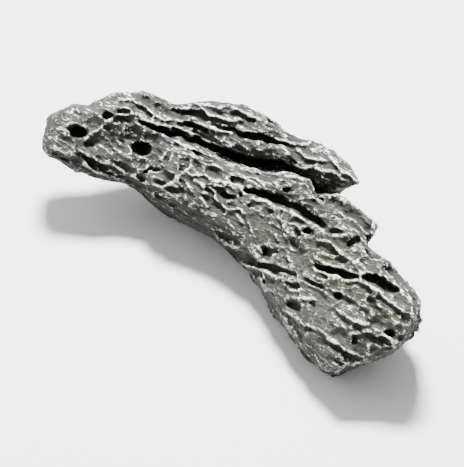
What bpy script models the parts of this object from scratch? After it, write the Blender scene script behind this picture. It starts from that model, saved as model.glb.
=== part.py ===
"""A seiryu stone: one weathered, layered piece of grey limestone, lying on its underside.

The stone is built as a field that is negative inside the rock. Seven lobes make the body, a relief
map cuts the slots and pits of its main face, and lattice noise weathers every side. The field is
then meshed as one closed surface and rested on the floor plane.

Lengths are in millimetres until the mesh is made. The main face is laid out as it is seen from
VIEW_DISTANCE away: along its grain (a), across it (c), and out toward the viewer (d).
"""
import math

import bmesh
import bpy
import numpy as np
import openvdb

MM = 0.001
NODE = "seiryu_stone"
TRIANGLES = 9400
VOXEL = 1.3
SEED = 11

# How the main face is looked at: from the front, a little to the right and above.
VIEW_AZIMUTH = math.radians(40.9)
VIEW_ELEVATION = math.radians(36)
VIEW_DISTANCE = 1200.0
VIEW_CENTRE = (1.6, -13.7, 60.0)
# The grain runs down to the right, by this much, in that view.
GRAIN_SLOPE = math.radians(27)

# The space that is searched, in the stone's own axes, before it is centred, and a distance that
# stands for being far from the stone.
FIELD_LOW = (-120.0, -95.0, -2.0)
FIELD_HIGH = (152.0, 60.0, 92.0)
FAR = 1e3

# Sections of the three lobes with an underside, from the narrow end to the broad one:
# along, lowest across, highest across, half thickness, height of the underside.
HEAD = [
    (-93, -10, -3, 5, 38),
    (-91, -15, -0.5, 9, 34),
    (-88, -19.5, 3.5, 13, 30),
    (-80, -20, 7, 16, 27),
    (-73, -20, 12, 17, 24),
    (-66, -19.5, 17, 18, 21),
    (-55, -17.5, 19, 19, 16.5),
    (-45, -15.5, 19, 20, 12),
    (-30, -17, 17, 20, 7),
    (-15, -17, 15, 17, 3),
]
MAIN = [
    (-45, -9, 4, 15, 15),
    (-41, -14, 9.5, 21, 12),
    (-37, -16, 11.5, 24, 9),
    (-28, -18, 11.8, 26, 5.5),
    (-18, -19.5, 12.6, 27, 2.5),
    (-8, -19.5, 14.5, 28, 0.5),
    (2, -21, 16.5, 29, -0.5),
    (12, -24, 18.5, 29, -0.8),
    (22, -29, 18, 29, -0.8),
    (32, -34.5, 15.5, 29, -0.8),
    (42, -40.5, 15.5, 29, -0.8),
    (50, -43.5, 12, 29, -0.8),
    (58, -47, 7.5, 29, -0.8),
    (68, -49, 6, 28, -0.5),
    (74, -44, 3, 28, 1),
    (80, -37, 0.5, 27, 5),
    (86, -30, -1.5, 24, 11),
    (89.5, -24.5, -5, 19, 17),
    (91, -19, -10, 10, 24),
]
BACK = [
    (-28, -8, 6, 12, 5),
    (-12, -12, 8, 20, 1),
    (10, -14, 10, 24, -0.8),
    (35, -15, 12, 25, -0.8),
    (58, -20, 3, 24, -0.8),
    (73, -20, 0, 20, 1),
    (82, -16, -5, 13, 6),
]
# Sections of the lobes behind and above them. The last column is how far out their middle lies
# from the middle of the body.
CREST = [
    (-80, 1, 6, 8, -2),
    (-73, 3, 17, 12, -2),
    (-64, 7, 23, 15, -3),
    (-55, 10, 24.8, 16, -4),
    (-47, 13, 25.2, 17, -5),
    (-40, 15, 29, 18, -6),
    (-30, 17.5, 33.5, 19, -7),
    (-20, 18.5, 36.8, 20, -8),
    (-10, 19.3, 38.2, 20, -9),
    (-2, 21, 37.4, 20, -10),
    (6, 24.8, 35.8, 19, -11),
    (12, 25, 37.4, 18, -12),
    (18, 22.5, 38, 17, -13),
    (24, 19.5, 38, 16, -13),
    (30, 20.5, 36.4, 14, -13),
    (35, 24, 34.6, 11, -13),
    (39, 28, 32.8, 7, -13),
    (41.5, 30.6, 31.6, 3, -13),
]
WEB = [
    (-60, 0, 20, 10, -8),
    (-45, 2, 24, 13, -13),
    (-20, 4, 30, 14, -19),
    (0, 4, 31, 14, -23),
    (20, 6, 32, 13, -24),
    (29, 10, 30, 11, -24),
    (35, 16, 28, 7, -23),
]
LEDGE = [
    (4, 12, 17.5, 8, 2),
    (10, 12, 20.6, 14, 4),
    (16, 12, 21.8, 15, 4),
    (21, 13, 21.6, 13, 3),
    (25.5, 14, 19.5, 8, 2),
]
FLAKE = [
    (24, 6, 16, 4, 5),
    (31, 6, 21.5, 6, 4),
    (40, 6, 22.8, 6, 3),
    (48, 6, 21.6, 6, 2),
    (54, 7, 19.8, 6, 1),
    (57, 9, 18.2, 4, 0),
]
# Each lobe: its sections, how square they are, and how softly it runs into the ones before it.
LOBES = [
    (HEAD, 3.6, 0.5),
    (MAIN, 3.4, 5.0),
    (CREST, 4.5, 3.0),
    (WEB, 2.6, 2.0),
    (BACK, 2.3, 6.0),
    (LEDGE, 3.5, 1.0),
    (FLAKE, 4.5, 0.8),
]
# How finely the curves through their sections are drawn.
KNOT_STEP = 0.5
# A gentle bend of space, by this much along, across and out, keeps them from looking turned.
BEND_SIZE = 20.0
BEND_HEIGHT = (2.0, 1.6, 4.5)
# The body's middle passes from the head's to the main lobe's over this stretch.
HANDOVER_START = -46.0
HANDOVER_LENGTH = 24.0

# Slots of the main face: depth, then along, across and half width at points down the slot.
SLOTS = [
    # between the upper ridge and the main body
    (13, [(-57, 11.5, 1), (-48, 12.2, 2), (-38, 14, 2), (-20, 15.8, 2.2), (-8, 17.3, 2.4), (4, 20.8, 3)]),
    (9, [(0, 20.6, 2.2), (8, 22.6, 1.9), (14, 23, 1.3), (20, 23, 0.8)]),
    # in the upper ridge
    (9, [(-27, 24.3, 0.8), (-18, 26.5, 2), (-8, 29, 2.4), (0, 30.6, 1.8), (6, 31.6, 0.6)]),
    (5, [(-46, 23, 1), (-40, 24.6, 1.7), (-30, 26.4, 1.2)]),
    (5, [(-38.5, 20.6, 1.2), (-34, 20.8, 1.5), (-29, 21.4, 1.1)]),
    (3, [(-28, 31, 1), (-20, 33.2, 1.1), (-12, 34.3, 0.9)]),
    # under the main crest
    (12, [(-2.5, 5.6, 0.8), (4, 7, 1.6), (10, 7.8, 2), (20, 8.4, 2.1), (30, 8.2, 2.2), (36, 7.6, 1.4)]),
    (6, [(37.5, 6.2, 1), (41, 7.2, 1.6), (44, 8.2, 1)]),
    (7, [(49.5, 4.6, 1.6), (51, 8, 2.2)]),
    # lower body
    (12, [(41, -9.8, 1), (47, -8.6, 1.7), (54, -7.4, 2), (59, -5.6, 1)]),
    (11, [(61.5, -4.4, 1.2), (66, -3.6, 2.2), (72, -3.8, 2.4), (77, -3, 1.3)]),
    (13, [(4, -22, 3.6), (12, -21, 2.8), (23, -19, 1.8), (34.5, -17, 0.8)]),
    (6, [(39.5, -16.8, 0.8), (48, -17, 0.9)]),
]
# Flats that slope in from one edge to another: depth, the share of it that lies under the first edge
# at once, then along, across at the first edge and across at the other.
FACETS = [
    # under overhanging edges
    (11, 0.16, [(12, 25.6, 23.4), (18, 26.8, 21.6), (22, 28.2, 19.6), (26, 29.4, 18.8), (32, 30, 20.6),
                (36, 30.4, 24), (41, 31, 30.4)]),
    (6, 0.16, [(2, 9.5, 6.5), (8, 12.5, 7.5), (14, 15.5, 8), (20, 16.2, 8.4), (28, 14, 8.2), (36, 9, 7.6)]),
    (3.5, 0.16, [(33, 20.5, 17.4), (40, 22, 17), (47, 21.3, 15.8), (54, 19, 13.5)]),
    (5, 0.16, [(38, -6.5, -10.5), (48, -4.5, -9), (58, -2.5, -6.5)]),
    # the turned-down flank
    (6, 0, [(-84, -14, -26), (-60, -12, -26), (-45, -11, -25), (-34, -8, -25), (-18, -8, -25),
            (0, -10, -26), (8, -14, -27)]),
    # the turned-up top of the head and of the upper ridge
    (3.5, 0, [(-76, 8, 18), (-69, 13, 24), (-60, 15.5, 27), (-50, 15, 28), (-43, 18, 29)]),
    (3, 0, [(-41, 26, 34), (-30, 28, 38), (-20, 30, 41), (-10, 31.5, 42), (2, 33, 42)]),
    (4.5, 0, [(4, 30, 41), (12, 27, 42), (18, 28, 42), (22, 29.4, 42), (26, 30.2, 41), (32, 30.8, 39),
              (38, 31.2, 35)]),
]
# Pits of the main face: depth, along, across, half length, half width, turn in degrees.
PITS = [
    (10, -78.3, -4.8, 3.8, 2.4, 22),
    (6, -70.7, 6.8, 2.1, 1.3, 25),
    (4, -60.5, 16, 3.6, 1.1, 12),
    (11, -50.5, 1.2, 4.4, 3.3, 25),
    (6, -17.5, 6.4, 4.6, 2.2, 4),
    (6, -7, 0.2, 4.4, 1.6, 8),
    (3, -6, 7.3, 4, 1, -6),
    (3.5, 28, -4.2, 4.2, 3.2, 15),
    (5, 32, 2.2, 2.8, 1.5, 0),
    (7, 55.6, -16.8, 2.7, 1.7, 4),
    (5, 36.4, -14.6, 1.5, 1.4, 0),
    (6, 18.8, -14.8, 2.8, 2.5, 20),
    (3, 5, -15.2, 4.4, 2.3, 22),
    (8, 40.4, -29.2, 3.4, 2, 6),
    (7, 82.3, -21.2, 2.3, 1.9, 0),
    (6, 88, -20.6, 2.3, 2.3, 0),
    (2.5, 68, -11.6, 7, 2.2, -4),
    (2.5, 57, -37.2, 6.5, 2.2, 8),
    (2.5, 43, -36.6, 3.6, 2.2, -10),
    (2, 62, -32.5, 4.4, 1.8, 5),
]
# Broad hollows of the main face, in the same terms, with soft rims.
HOLLOWS = [
    (6, -58, 3.5, 17, 8.5, 20),
    (2.5, -22, -8, 14, 4, -8),
    (3, -12, 23.5, 14, 4, 12),
    (2.5, 20, 13.2, 14, 3.2, 4),
    (3, 22, -12, 7, 4.5, 20),
    (2, 74, -15, 8, 2.5, 0),
]
# How the walls of pits and of hollows curve: the power of the share of their way in.
PIT_WALL = 0.5
HOLLOW_WALL = 1.2
# The relief is worked out on a map of the main face. Its edges wander a little, by RELIEF_EDGE.
FACE_LOW = (-104.0, -62.0)
FACE_HIGH = (108.0, 52.0)
RELIEF_STEP = 0.5
RELIEF_EDGE = 1.6
RELIEF_EDGE_SIZE = 5.5
RELIEF_LEAST = 0.05
SEARCH_FROM = 150.0
NOWHERE = -FAR
# The map keeps its outermost neighbour, this many times, so that rims aren't shaved.
RIM = [(0, 1), (1, 0), (1, 1), (1, 2), (2, 1)]
RIM_STEPS = 2
PAD_SNAP = 0.12

# Weathering. Sizes are along the grain, through the layers, and along their other edge.
LAYER_TILT = math.radians(42)
FAN_RATE = 0.0032
WEATHER_REACH = 7.0
DEEPEST_WEAR = 6.5
CREST_HEIGHT = 1.5
WANDER_SIZE = (26, 11, 13)
WANDER = 3.0
LUMP_SIZE = (36, 15, 17)
LUMP_HEIGHT = 2.2
RIB_SIZE = (38, 6.5, 22)
RIB_HEIGHT = 1.1
RIB_SPREAD = 0.3
# broken layers: blocks of rock that stand a little higher or lower than their neighbours
BLOCK_SIZE = (44, 11, 17)
BLOCK_HEIGHT = 2.0
BLOCK_MIDDLE = 0.5
# scallops: the size of one, its depth, the least of that as a share, and how wide their crests are
SCALLOP_SIZE = (24, 7.8, 9)
SCALLOP_DEPTH = 2.8
SCALLOP_LEAST = 0.3
SCALLOP_CREST = 0.45
# long deep pits, on every side but the main face
GASH_SIZE = (27, 8.5, 10)
GASH_DEPTH = 6.0
GASH_SHARE = 0.42
GASH_REACH = 0.44
FACE_FADE = (4.0, 8.0)

STONE_COLOUR = (0.17, 0.18, 0.18, 1.0)
STONE_ROUGHNESS = 0.85


def face_axes():
    """Unit vectors along, across and out, in the stone's own axes."""
    ca, sa = math.cos(VIEW_AZIMUTH), math.sin(VIEW_AZIMUTH)
    ce, se = math.cos(VIEW_ELEVATION), math.sin(VIEW_ELEVATION)
    right = np.array([ca, sa, 0.0])
    up = np.array([-sa * se, ca * se, ce])
    out = np.array([sa * ce, -ca * ce, se])
    cg, sg = math.cos(GRAIN_SLOPE), math.sin(GRAIN_SLOPE)
    return np.array([cg * right - sg * up, sg * right + cg * up, out])


AXES = face_axes()
RISE = AXES[:, 2]


def curve(stations, column, x):
    """A smooth curve through one column of a table of sections."""
    table = np.array(stations, float)
    xs, ys = table[:, 0], table[:, column]
    slopes = np.gradient(ys, xs)
    i = np.clip(np.searchsorted(xs, x) - 1, 0, len(xs) - 2)
    h = xs[i + 1] - xs[i]
    u = np.clip((x - xs[i]) / h, 0, 1)
    start = ys[i] * (1 + 2 * u) * (1 - u) ** 2 + slopes[i] * h * u * (1 - u) ** 2
    end = ys[i + 1] * u * u * (3 - 2 * u) + slopes[i + 1] * h * u * u * (u - 1)
    return start + end


def resting_middle(stations, x):
    """How far out a section's middle lies, so that its underside has the height stated for it."""
    low, high, thick, under = (curve(stations, i, x) for i in (1, 2, 3, 4))
    reach = np.hypot(RISE[1] * (high - low) / 2, RISE[2] * thick)
    a0, c0, d0 = VIEW_CENTRE
    sideways = RISE[0] * (x - a0) + RISE[1] * ((low + high) / 2 - c0)
    level = reach + under - RISE[0] * a0 - RISE[1] * c0 - sideways * (1 + d0 / VIEW_DISTANCE)
    return level / (RISE[2] - sideways / VIEW_DISTANCE)


def body_middle(x):
    """How far out the body's middle lies, all along the stone."""
    share = np.clip((x - HANDOVER_START) / HANDOVER_LENGTH, 0, 1)
    return resting_middle(HEAD, x) * (1 - share) + resting_middle(MAIN, x) * share


def smooth_min(f, g, width):
    gap = np.clip(width - np.abs(f - g), 0, None) / width
    return np.minimum(f, g) - gap * gap * width / 4


class Lattice:
    """Random values tied to the cells of a cubic lattice."""

    def __init__(self, seed):
        rng = np.random.default_rng(SEED * 100 + seed)
        self.order = rng.permutation(256)
        vectors = rng.normal(size=(256, 3))
        self.vectors = (vectors / np.linalg.norm(vectors, axis=1)[:, None]).astype(np.float32)
        self.offsets = rng.random((256, 3)).astype(np.float32)
        self.values = rng.random(256).astype(np.float32)

    def index(self, cell):
        i = self.order[cell[:, 0] & 255]
        i = self.order[(i + cell[:, 1]) & 255]
        return self.order[(i + cell[:, 2]) & 255]

    def noise(self, points):
        """Gradient noise, about -0.7 to 0.7."""
        cell = np.floor(points).astype(np.int32)
        part = (points - cell).astype(np.float32)
        ease = part ** 3 * (part * (part * 6 - 15) + 10)
        total = np.zeros(len(points), np.float32)
        for corner in np.ndindex(2, 2, 2):
            step = np.array(corner, np.int32)
            gradient = self.vectors[self.index(cell + step)]
            weight = np.prod(np.where(step, ease, 1 - ease), axis=1)
            total += weight * np.einsum("ij,ij->i", gradient, part - step.astype(np.float32))
        return total

    def cells(self, points):
        """For each point: the nearest seed's distance, the gap to the second, and its value."""
        cell = np.floor(points).astype(np.int32)
        part = (points - cell).astype(np.float32)
        first = np.full(len(points), 9.0, np.float32)
        second = first.copy()
        value = np.zeros(len(points), np.float32)
        for corner in np.ndindex(3, 3, 3):
            step = np.array(corner, np.int32) - 1
            i = self.index(cell + step)
            away = part - step.astype(np.float32) - self.offsets[i]
            distance = np.einsum("ij,ij->i", away, away)
            nearer = distance < first
            second = np.where(nearer, first, np.minimum(second, distance))
            value = np.where(nearer, self.values[i], value)
            first = np.where(nearer, distance, first)
        first = np.sqrt(first)
        return first, np.sqrt(second) - first, value


class Field:
    """A grid of signed distances, in millimetres, with each point's place on the main face."""

    def __init__(self, low, high, voxel):
        self.low = np.array(low)
        self.voxel = voxel
        counts = [int(math.ceil((h - l) / voxel)) + 1 for l, h in zip(low, high)]
        self.axes = [(l + voxel * np.arange(n)).astype(np.float32) for l, n in zip(low, counts)]
        x, y, z = np.meshgrid(*self.axes, indexing="ij", sparse=True)
        a, c, d = (AXES[i, 0] * x + AXES[i, 1] * y + AXES[i, 2] * z for i in range(3))
        nearness = 1 / (1 - (d - VIEW_CENTRE[2]) / VIEW_DISTANCE)
        self.a = (VIEW_CENTRE[0] + (a - VIEW_CENTRE[0]) * nearness).astype(np.float32)
        self.c = (VIEW_CENTRE[1] + (c - VIEW_CENTRE[1]) * nearness).astype(np.float32)
        self.d = d.astype(np.float32)
        self.values = np.full(self.d.shape, FAR, np.float32)

    def row_points(self, a, c, d):
        """Places on the main face, turned back into the stone's own axes."""
        nearness = 1 / (1 - (d - VIEW_CENTRE[2]) / VIEW_DISTANCE)
        true_a = VIEW_CENTRE[0] + (a - VIEW_CENTRE[0]) / nearness
        true_c = VIEW_CENTRE[1] + (c - VIEW_CENTRE[1]) / nearness
        return np.stack([true_a, true_c, d], axis=-1) @ AXES

    def sample(self, points):
        """The field between its grid points."""
        place = (points - self.low) / self.voxel
        inside = np.all((place >= 0) & (place < np.array(self.values.shape) - 1), axis=-1)
        place = np.where(inside[..., None], place, 0)
        cell = np.floor(place).astype(int)
        part = place - cell
        total = np.zeros(points.shape[:-1])
        for corner in np.ndindex(2, 2, 2):
            at = cell + np.array(corner)
            weight = np.prod(np.where(corner, part, 1 - part), axis=-1)
            total += weight * self.values[at[..., 0], at[..., 1], at[..., 2]]
        return np.where(inside, total, FAR)


def lobe_distance(field, bent, stations, squareness):
    """Distance to a lobe whose sections are rounded rectangles."""
    a, c, d = bent
    knots = np.arange(stations[0][0], stations[-1][0] + KNOT_STEP / 2, KNOT_STEP)
    if stations in (HEAD, MAIN, BACK):
        middles = resting_middle(stations, knots)
    else:
        middles = body_middle(knots) + curve(stations, 4, knots)
    low, high, thick = (np.interp(a, knots, curve(stations, i, knots)) for i in (1, 2, 3))
    middle = np.interp(a, knots, middles)
    half = np.maximum((high - low) / 2, 0.5)
    x = np.abs(c - (high + low) / 2) / half
    y = np.abs(d - middle) / thick
    q = np.maximum((x ** squareness + y ** squareness) ** (1 / squareness), 1e-3)
    slope = np.hypot((x / q) ** (squareness - 1) / half, (y / q) ** (squareness - 1) / thick)
    distance = (q - 1) / np.maximum(slope, 1e-3)
    ends = np.maximum(stations[0][0] - a, a - stations[-1][0])
    return np.maximum(distance, ends).astype(np.float32)


def add_lobes(field):
    """The body, as a run of lobes that melt into one another."""
    shape = field.values.shape
    flat = np.stack([v.ravel() for v in (field.a, field.c, field.d)], axis=1)
    bends = [Lattice(seed).noise(flat / BEND_SIZE).reshape(shape) for seed in (1, 2, 3)]
    bent = [v + h * b for v, h, b in zip((field.a, field.c, field.d), BEND_HEIGHT, bends)]
    for stations, squareness, softness in LOBES:
        distance = lobe_distance(field, bent, stations, squareness)
        field.values = smooth_min(field.values, distance, softness)


def turned(turn, a, c):
    """Coordinates in a frame turned by some degrees, anticlockwise as seen."""
    cos, sin = math.cos(math.radians(turn)), math.sin(math.radians(turn))
    return cos * a + sin * c, cos * c - sin * a


def slot_depth(a, c, depth, path):
    """Depth of a slot that follows a path, as deep and as wide as is stated along it."""
    cut = np.zeros_like(a)
    widest = max(width for _, _, width in path)
    for (a0, c0, w0), (a1, c1, w1) in zip(path, path[1:]):
        run, rise = a1 - a0, c1 - c0
        share = np.clip(((a - a0) * run + (c - c0) * rise) / (run * run + rise * rise), 0, 1)
        away = np.hypot(a - a0 - share * run, c - c0 - share * rise)
        width = w0 + (w1 - w0) * share
        level = np.sqrt(np.clip(1 - (away / width) ** 2, 0, None))
        cut = np.maximum(cut, depth * level * np.sqrt(width / widest))
    return cut


def facet_depth(a, c, depth, step, path):
    """A flat that slopes in from its first edge to its other one."""
    along, first, other = np.array(path, float).T
    start, end = np.interp(a, along, first), np.interp(a, along, other)
    share = (c - start) / (end - start)
    inside = (a > along[0]) & (a < along[-1]) & (share > 0) & (share < 1)
    return np.where(inside, depth * (step + (1 - step) * share), 0)


def oval_depth(a, c, oval, wall):
    """Depth of an oval hollow. The smaller its wall power, the steeper its walls are."""
    depth, middle_a, middle_c, half_length, half_width, turn = oval
    u, v = turned(turn, a - middle_a, c - middle_c)
    inside = np.clip(1 - (u / half_length) ** 2 - (v / half_width) ** 2, 0, None)
    return depth * inside ** wall


def face_depth(field, a, c):
    """How far out the main face is at each place on it, and far behind where there is none."""
    face = np.full(a.shape, NOWHERE)
    step = field.voxel
    for d in np.arange(SEARCH_FROM, 0.0, -step):
        waiting = np.nonzero(face == NOWHERE)
        here = field.sample(field.row_points(a[waiting], c[waiting], np.full(len(waiting[0]), d)))
        reached = here < 0
        waiting = tuple(index[reached] for index in waiting)
        face[waiting] = d - here[reached]
    for _ in range(RIM_STEPS):
        padded = np.pad(face, 1, mode="edge")
        face = np.maximum.reduce([padded[i:i + a.shape[0], j:j + a.shape[1]] for i, j in RIM])
    return face


def relief_map(a, c):
    """How deep the slots, pits and hollows of the main face are at each place on it."""
    points = np.stack([a.ravel(), c.ravel(), np.zeros(a.size)], axis=1) / RELIEF_EDGE_SIZE
    wander = [Lattice(seed).noise(points).reshape(a.shape) * RELIEF_EDGE for seed in (4, 5)]
    a, c = a + wander[0], c + wander[1]
    depth = np.zeros(a.shape)
    for hollow in HOLLOWS:
        depth = np.maximum(depth, oval_depth(a, c, hollow, HOLLOW_WALL))
    for pit in PITS:
        depth += oval_depth(a, c, pit, PIT_WALL)
    slots = np.zeros(a.shape)
    for slot_deep, path in SLOTS:
        slots = np.maximum(slots, slot_depth(a, c, slot_deep, path))
    for facet in FACETS:
        depth = np.maximum(depth, facet_depth(a, c, *facet))
    return depth + slots


def carve_face(field):
    """Cuts the relief of the main face straight in, along the way it is looked at."""
    along = np.arange(FACE_LOW[0], FACE_HIGH[0], RELIEF_STEP)
    across = np.arange(FACE_LOW[1], FACE_HIGH[1], RELIEF_STEP)
    a, c = np.meshgrid(along, across, indexing="ij")
    depth = relief_map(a, c)
    floor = face_depth(field, a, c) - depth
    slope = np.hypot(*np.gradient(floor, RELIEF_STEP))
    steepness = 1 / np.sqrt(1 + slope ** 2)

    i = np.clip((field.a - FACE_LOW[0]) / RELIEF_STEP, 0, len(along) - 1.001)
    j = np.clip((field.c - FACE_LOW[1]) / RELIEF_STEP, 0, len(across) - 1.001)
    cell_i, cell_j = i.astype(np.int32), j.astype(np.int32)
    part_i, part_j = i - cell_i, j - cell_j

    def between(table):
        near = table[cell_i, cell_j] * (1 - part_j) + table[cell_i, cell_j + 1] * part_j
        far = table[cell_i + 1, cell_j] * (1 - part_j) + table[cell_i + 1, cell_j + 1] * part_j
        return near * (1 - part_i) + far * part_i

    cut = (field.d - between(floor)) * between(steepness)
    cut = np.where(between(depth) > RELIEF_LEAST, cut, -FAR)
    field.values = np.maximum(field.values, cut).astype(np.float32)


def weather(field):
    """Lumps, ribs along the grain, scallops with sharp crests between them, and long pits."""
    i, j, k = np.nonzero(np.abs(field.values) < WEATHER_REACH)
    x, y, z = field.axes[0][i], field.axes[1][j], field.axes[2][k]
    cos, sin = math.cos(LAYER_TILT), math.sin(LAYER_TILT)
    fan = 1 + FAN_RATE * x
    points = np.stack([x, (cos * y + sin * z) / fan, cos * z - sin * y], axis=1)
    points = points.astype(np.float32)
    wander = Lattice(20).noise(points / np.array(WANDER_SIZE, np.float32))
    points[:, 1] += WANDER * wander
    points[:, 2] += WANDER * Lattice(21).noise(points / np.array(WANDER_SIZE, np.float32))

    inward = LUMP_HEIGHT * Lattice(22).noise(points / np.array(LUMP_SIZE, np.float32))
    ribs = np.abs(Lattice(23).noise(points / np.array(RIB_SIZE, np.float32)))
    inward += RIB_HEIGHT * np.clip(ribs / RIB_SPREAD, 0, 1) - CREST_HEIGHT
    _, _, block = Lattice(24).cells(points / np.array(BLOCK_SIZE, np.float32))
    inward += BLOCK_HEIGHT * (block - BLOCK_MIDDLE)
    _, gap, value = Lattice(30).cells(points / np.array(SCALLOP_SIZE, np.float32))
    level = np.clip(gap / SCALLOP_CREST, 0, 1)
    share = SCALLOP_LEAST + (1 - SCALLOP_LEAST) * value
    inward += SCALLOP_DEPTH * share * level * (2 - level)
    first, _, value = Lattice(40).cells(points / np.array(GASH_SIZE, np.float32))
    behind = body_middle(field.a[i, j, k]) - field.d[i, j, k]
    away = np.clip((FACE_FADE[0] + behind) / FACE_FADE[1], 0, 1)
    gash = np.sqrt(np.clip(1 - (first / GASH_REACH) ** 2, 0, None))
    inward += GASH_DEPTH * gash * away * (value < GASH_SHARE)
    field.values[i, j, k] += np.minimum(inward, DEEPEST_WEAR)


def mesh_from_field(field):
    """The closed surface where the field is zero, in metres."""
    grid = openvdb.FloatGrid(FAR)
    grid.copyFromArray(np.ascontiguousarray(field.values))
    grid.transform = openvdb.createLinearTransform(field.voxel)
    points, quads = grid.convertToQuads(0.0)
    mesh = bpy.data.meshes.new(NODE)
    mesh.from_pydata((points + field.low) * MM, [], quads)
    mesh.update()
    return mesh


def keep_largest_body(mesh):
    """Drops the crumbs and bubbles that weathering leaves."""
    bm = bmesh.new()
    bm.from_mesh(mesh)
    waiting = set(bm.verts)
    bodies = []
    while waiting:
        body = [waiting.pop()]
        for vert in body:
            for edge in vert.link_edges:
                other = edge.other_vert(vert)
                if other in waiting:
                    waiting.remove(other)
                    body.append(other)
        bodies.append(body)
    bodies.sort(key=len)
    for body in bodies[:-1]:
        bmesh.ops.delete(bm, geom=body, context="VERTS")
    bmesh.ops.triangulate(bm, faces=bm.faces)
    bm.normal_update()
    if bm.calc_volume(signed=True) < 0:
        bmesh.ops.reverse_faces(bm, faces=bm.faces)
    bm.to_mesh(mesh)
    bm.free()


def simplified(mesh):
    """The same surface with fewer triangles."""
    helper = bpy.data.objects.new("helper", mesh)
    bpy.context.collection.objects.link(helper)
    decimate = helper.modifiers.new("fewer triangles", "DECIMATE")
    decimate.ratio = TRIANGLES / len(mesh.polygons)
    evaluated = helper.evaluated_get(bpy.context.evaluated_depsgraph_get())
    result = bpy.data.meshes.new_from_object(evaluated)
    bpy.data.objects.remove(helper)
    bpy.data.meshes.remove(mesh)
    return result


def rest_on_floor(mesh):
    """Flattens the resting pads, and puts the origin at the middle of the underside."""
    points = np.empty(len(mesh.vertices) * 3)
    mesh.vertices.foreach_get("co", points)
    points = points.reshape(-1, 3)
    points[points[:, 2] < PAD_SNAP * MM, 2] = 0
    points[:, :2] -= (points[:, :2].min(axis=0) + points[:, :2].max(axis=0)) / 2
    mesh.vertices.foreach_set("co", points.ravel())
    mesh.update()


def stone_material():
    material = bpy.data.materials.new("seiryu_grey")
    material.use_nodes = True
    shader = material.node_tree.nodes["Principled BSDF"]
    shader.inputs["Base Color"].default_value = STONE_COLOUR
    shader.inputs["Roughness"].default_value = STONE_ROUGHNESS
    shader.inputs["Metallic"].default_value = 0.0
    return material


def main():
    for old in list(bpy.data.objects):
        bpy.data.objects.remove(old)
    field = Field(FIELD_LOW, FIELD_HIGH, VOXEL)
    add_lobes(field)
    carve_face(field)
    weather(field)
    z = field.axes[2][None, None, :]
    field.values = np.maximum(field.values, -z)
    mesh = mesh_from_field(field)
    keep_largest_body(mesh)
    mesh = simplified(mesh)
    mesh.name = NODE
    rest_on_floor(mesh)
    mesh.materials.append(stone_material())
    stone = bpy.data.objects.new(NODE, mesh)
    bpy.context.collection.objects.link(stone)


main()
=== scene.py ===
"""The looks of a seiryu stone: the same rock as the solid, with its fine weathering and colour.

The stone is built as a field that is negative inside the rock. Seven lobes make the body, a relief
map cuts the slots and pits of its main face, and lattice noise weathers every side. The field is
meshed finely, then grained, and its crests and hollows give the material its pale and dark parts:
the pale crests are partly wear and partly a painted highlight, and the dark hollows are painted shade.

Lengths are in millimetres until the mesh is made. The main face is laid out as it is seen from
VIEW_DISTANCE away: along its grain (a), across it (c), and out toward the viewer (d).
"""
import math

import bpy
import numpy as np
import openvdb
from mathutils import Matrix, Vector


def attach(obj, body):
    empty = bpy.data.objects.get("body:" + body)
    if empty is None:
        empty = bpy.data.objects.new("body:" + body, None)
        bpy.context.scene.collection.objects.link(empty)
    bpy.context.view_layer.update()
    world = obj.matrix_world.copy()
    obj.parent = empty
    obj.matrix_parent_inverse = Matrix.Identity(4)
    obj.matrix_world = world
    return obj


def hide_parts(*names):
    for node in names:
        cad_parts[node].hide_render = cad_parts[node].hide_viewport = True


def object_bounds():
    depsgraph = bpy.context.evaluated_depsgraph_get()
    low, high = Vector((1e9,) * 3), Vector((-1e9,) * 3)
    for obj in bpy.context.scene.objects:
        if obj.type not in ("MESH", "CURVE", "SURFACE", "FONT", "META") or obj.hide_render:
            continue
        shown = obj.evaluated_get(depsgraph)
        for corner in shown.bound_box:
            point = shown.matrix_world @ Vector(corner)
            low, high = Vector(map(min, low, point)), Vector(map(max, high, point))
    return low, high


MM = 0.001
NODE = "seiryu_stone"
BODY = "root"
TRIANGLES = 196000
# The lobes are worked out on the coarse grid, and carved and weathered on the fine one.
COARSE_VOXEL = 1.8
FINE_VOXEL = 0.65

# How the main face is looked at: from the front, a little to the right and above. The picture is
# this wide at its middle.
VIEW_AZIMUTH = math.radians(40.9)
VIEW_ELEVATION = math.radians(36)
VIEW_DISTANCE = 1200.0
VIEW_CENTRE = (1.6, -13.7, 60.0)
VIEW_WIDTH = 203.8
# The grain runs down to the right, by this much, in that view.
GRAIN_SLOPE = math.radians(27)

# The space that is searched, in the stone's own axes, before it is centred, and a distance that
# stands for being far from the stone.
FIELD_LOW = (-120.0, -95.0, -2.0)
FIELD_HIGH = (152.0, 60.0, 92.0)
FAR = 1e3
# A grid or map with n places in a row is read up to n - LAST_STEP, just before the last of them.
LAST_STEP = 1.001
# Nothing is divided by less than this.
TINY = 1e-3

# Random values: what all draws start from, how many each lattice holds, and a squared distance that
# is further than any cell's nearest seed.
SEED = 11
LATTICE_VALUES = 256
NO_SEED = 9.0

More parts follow.
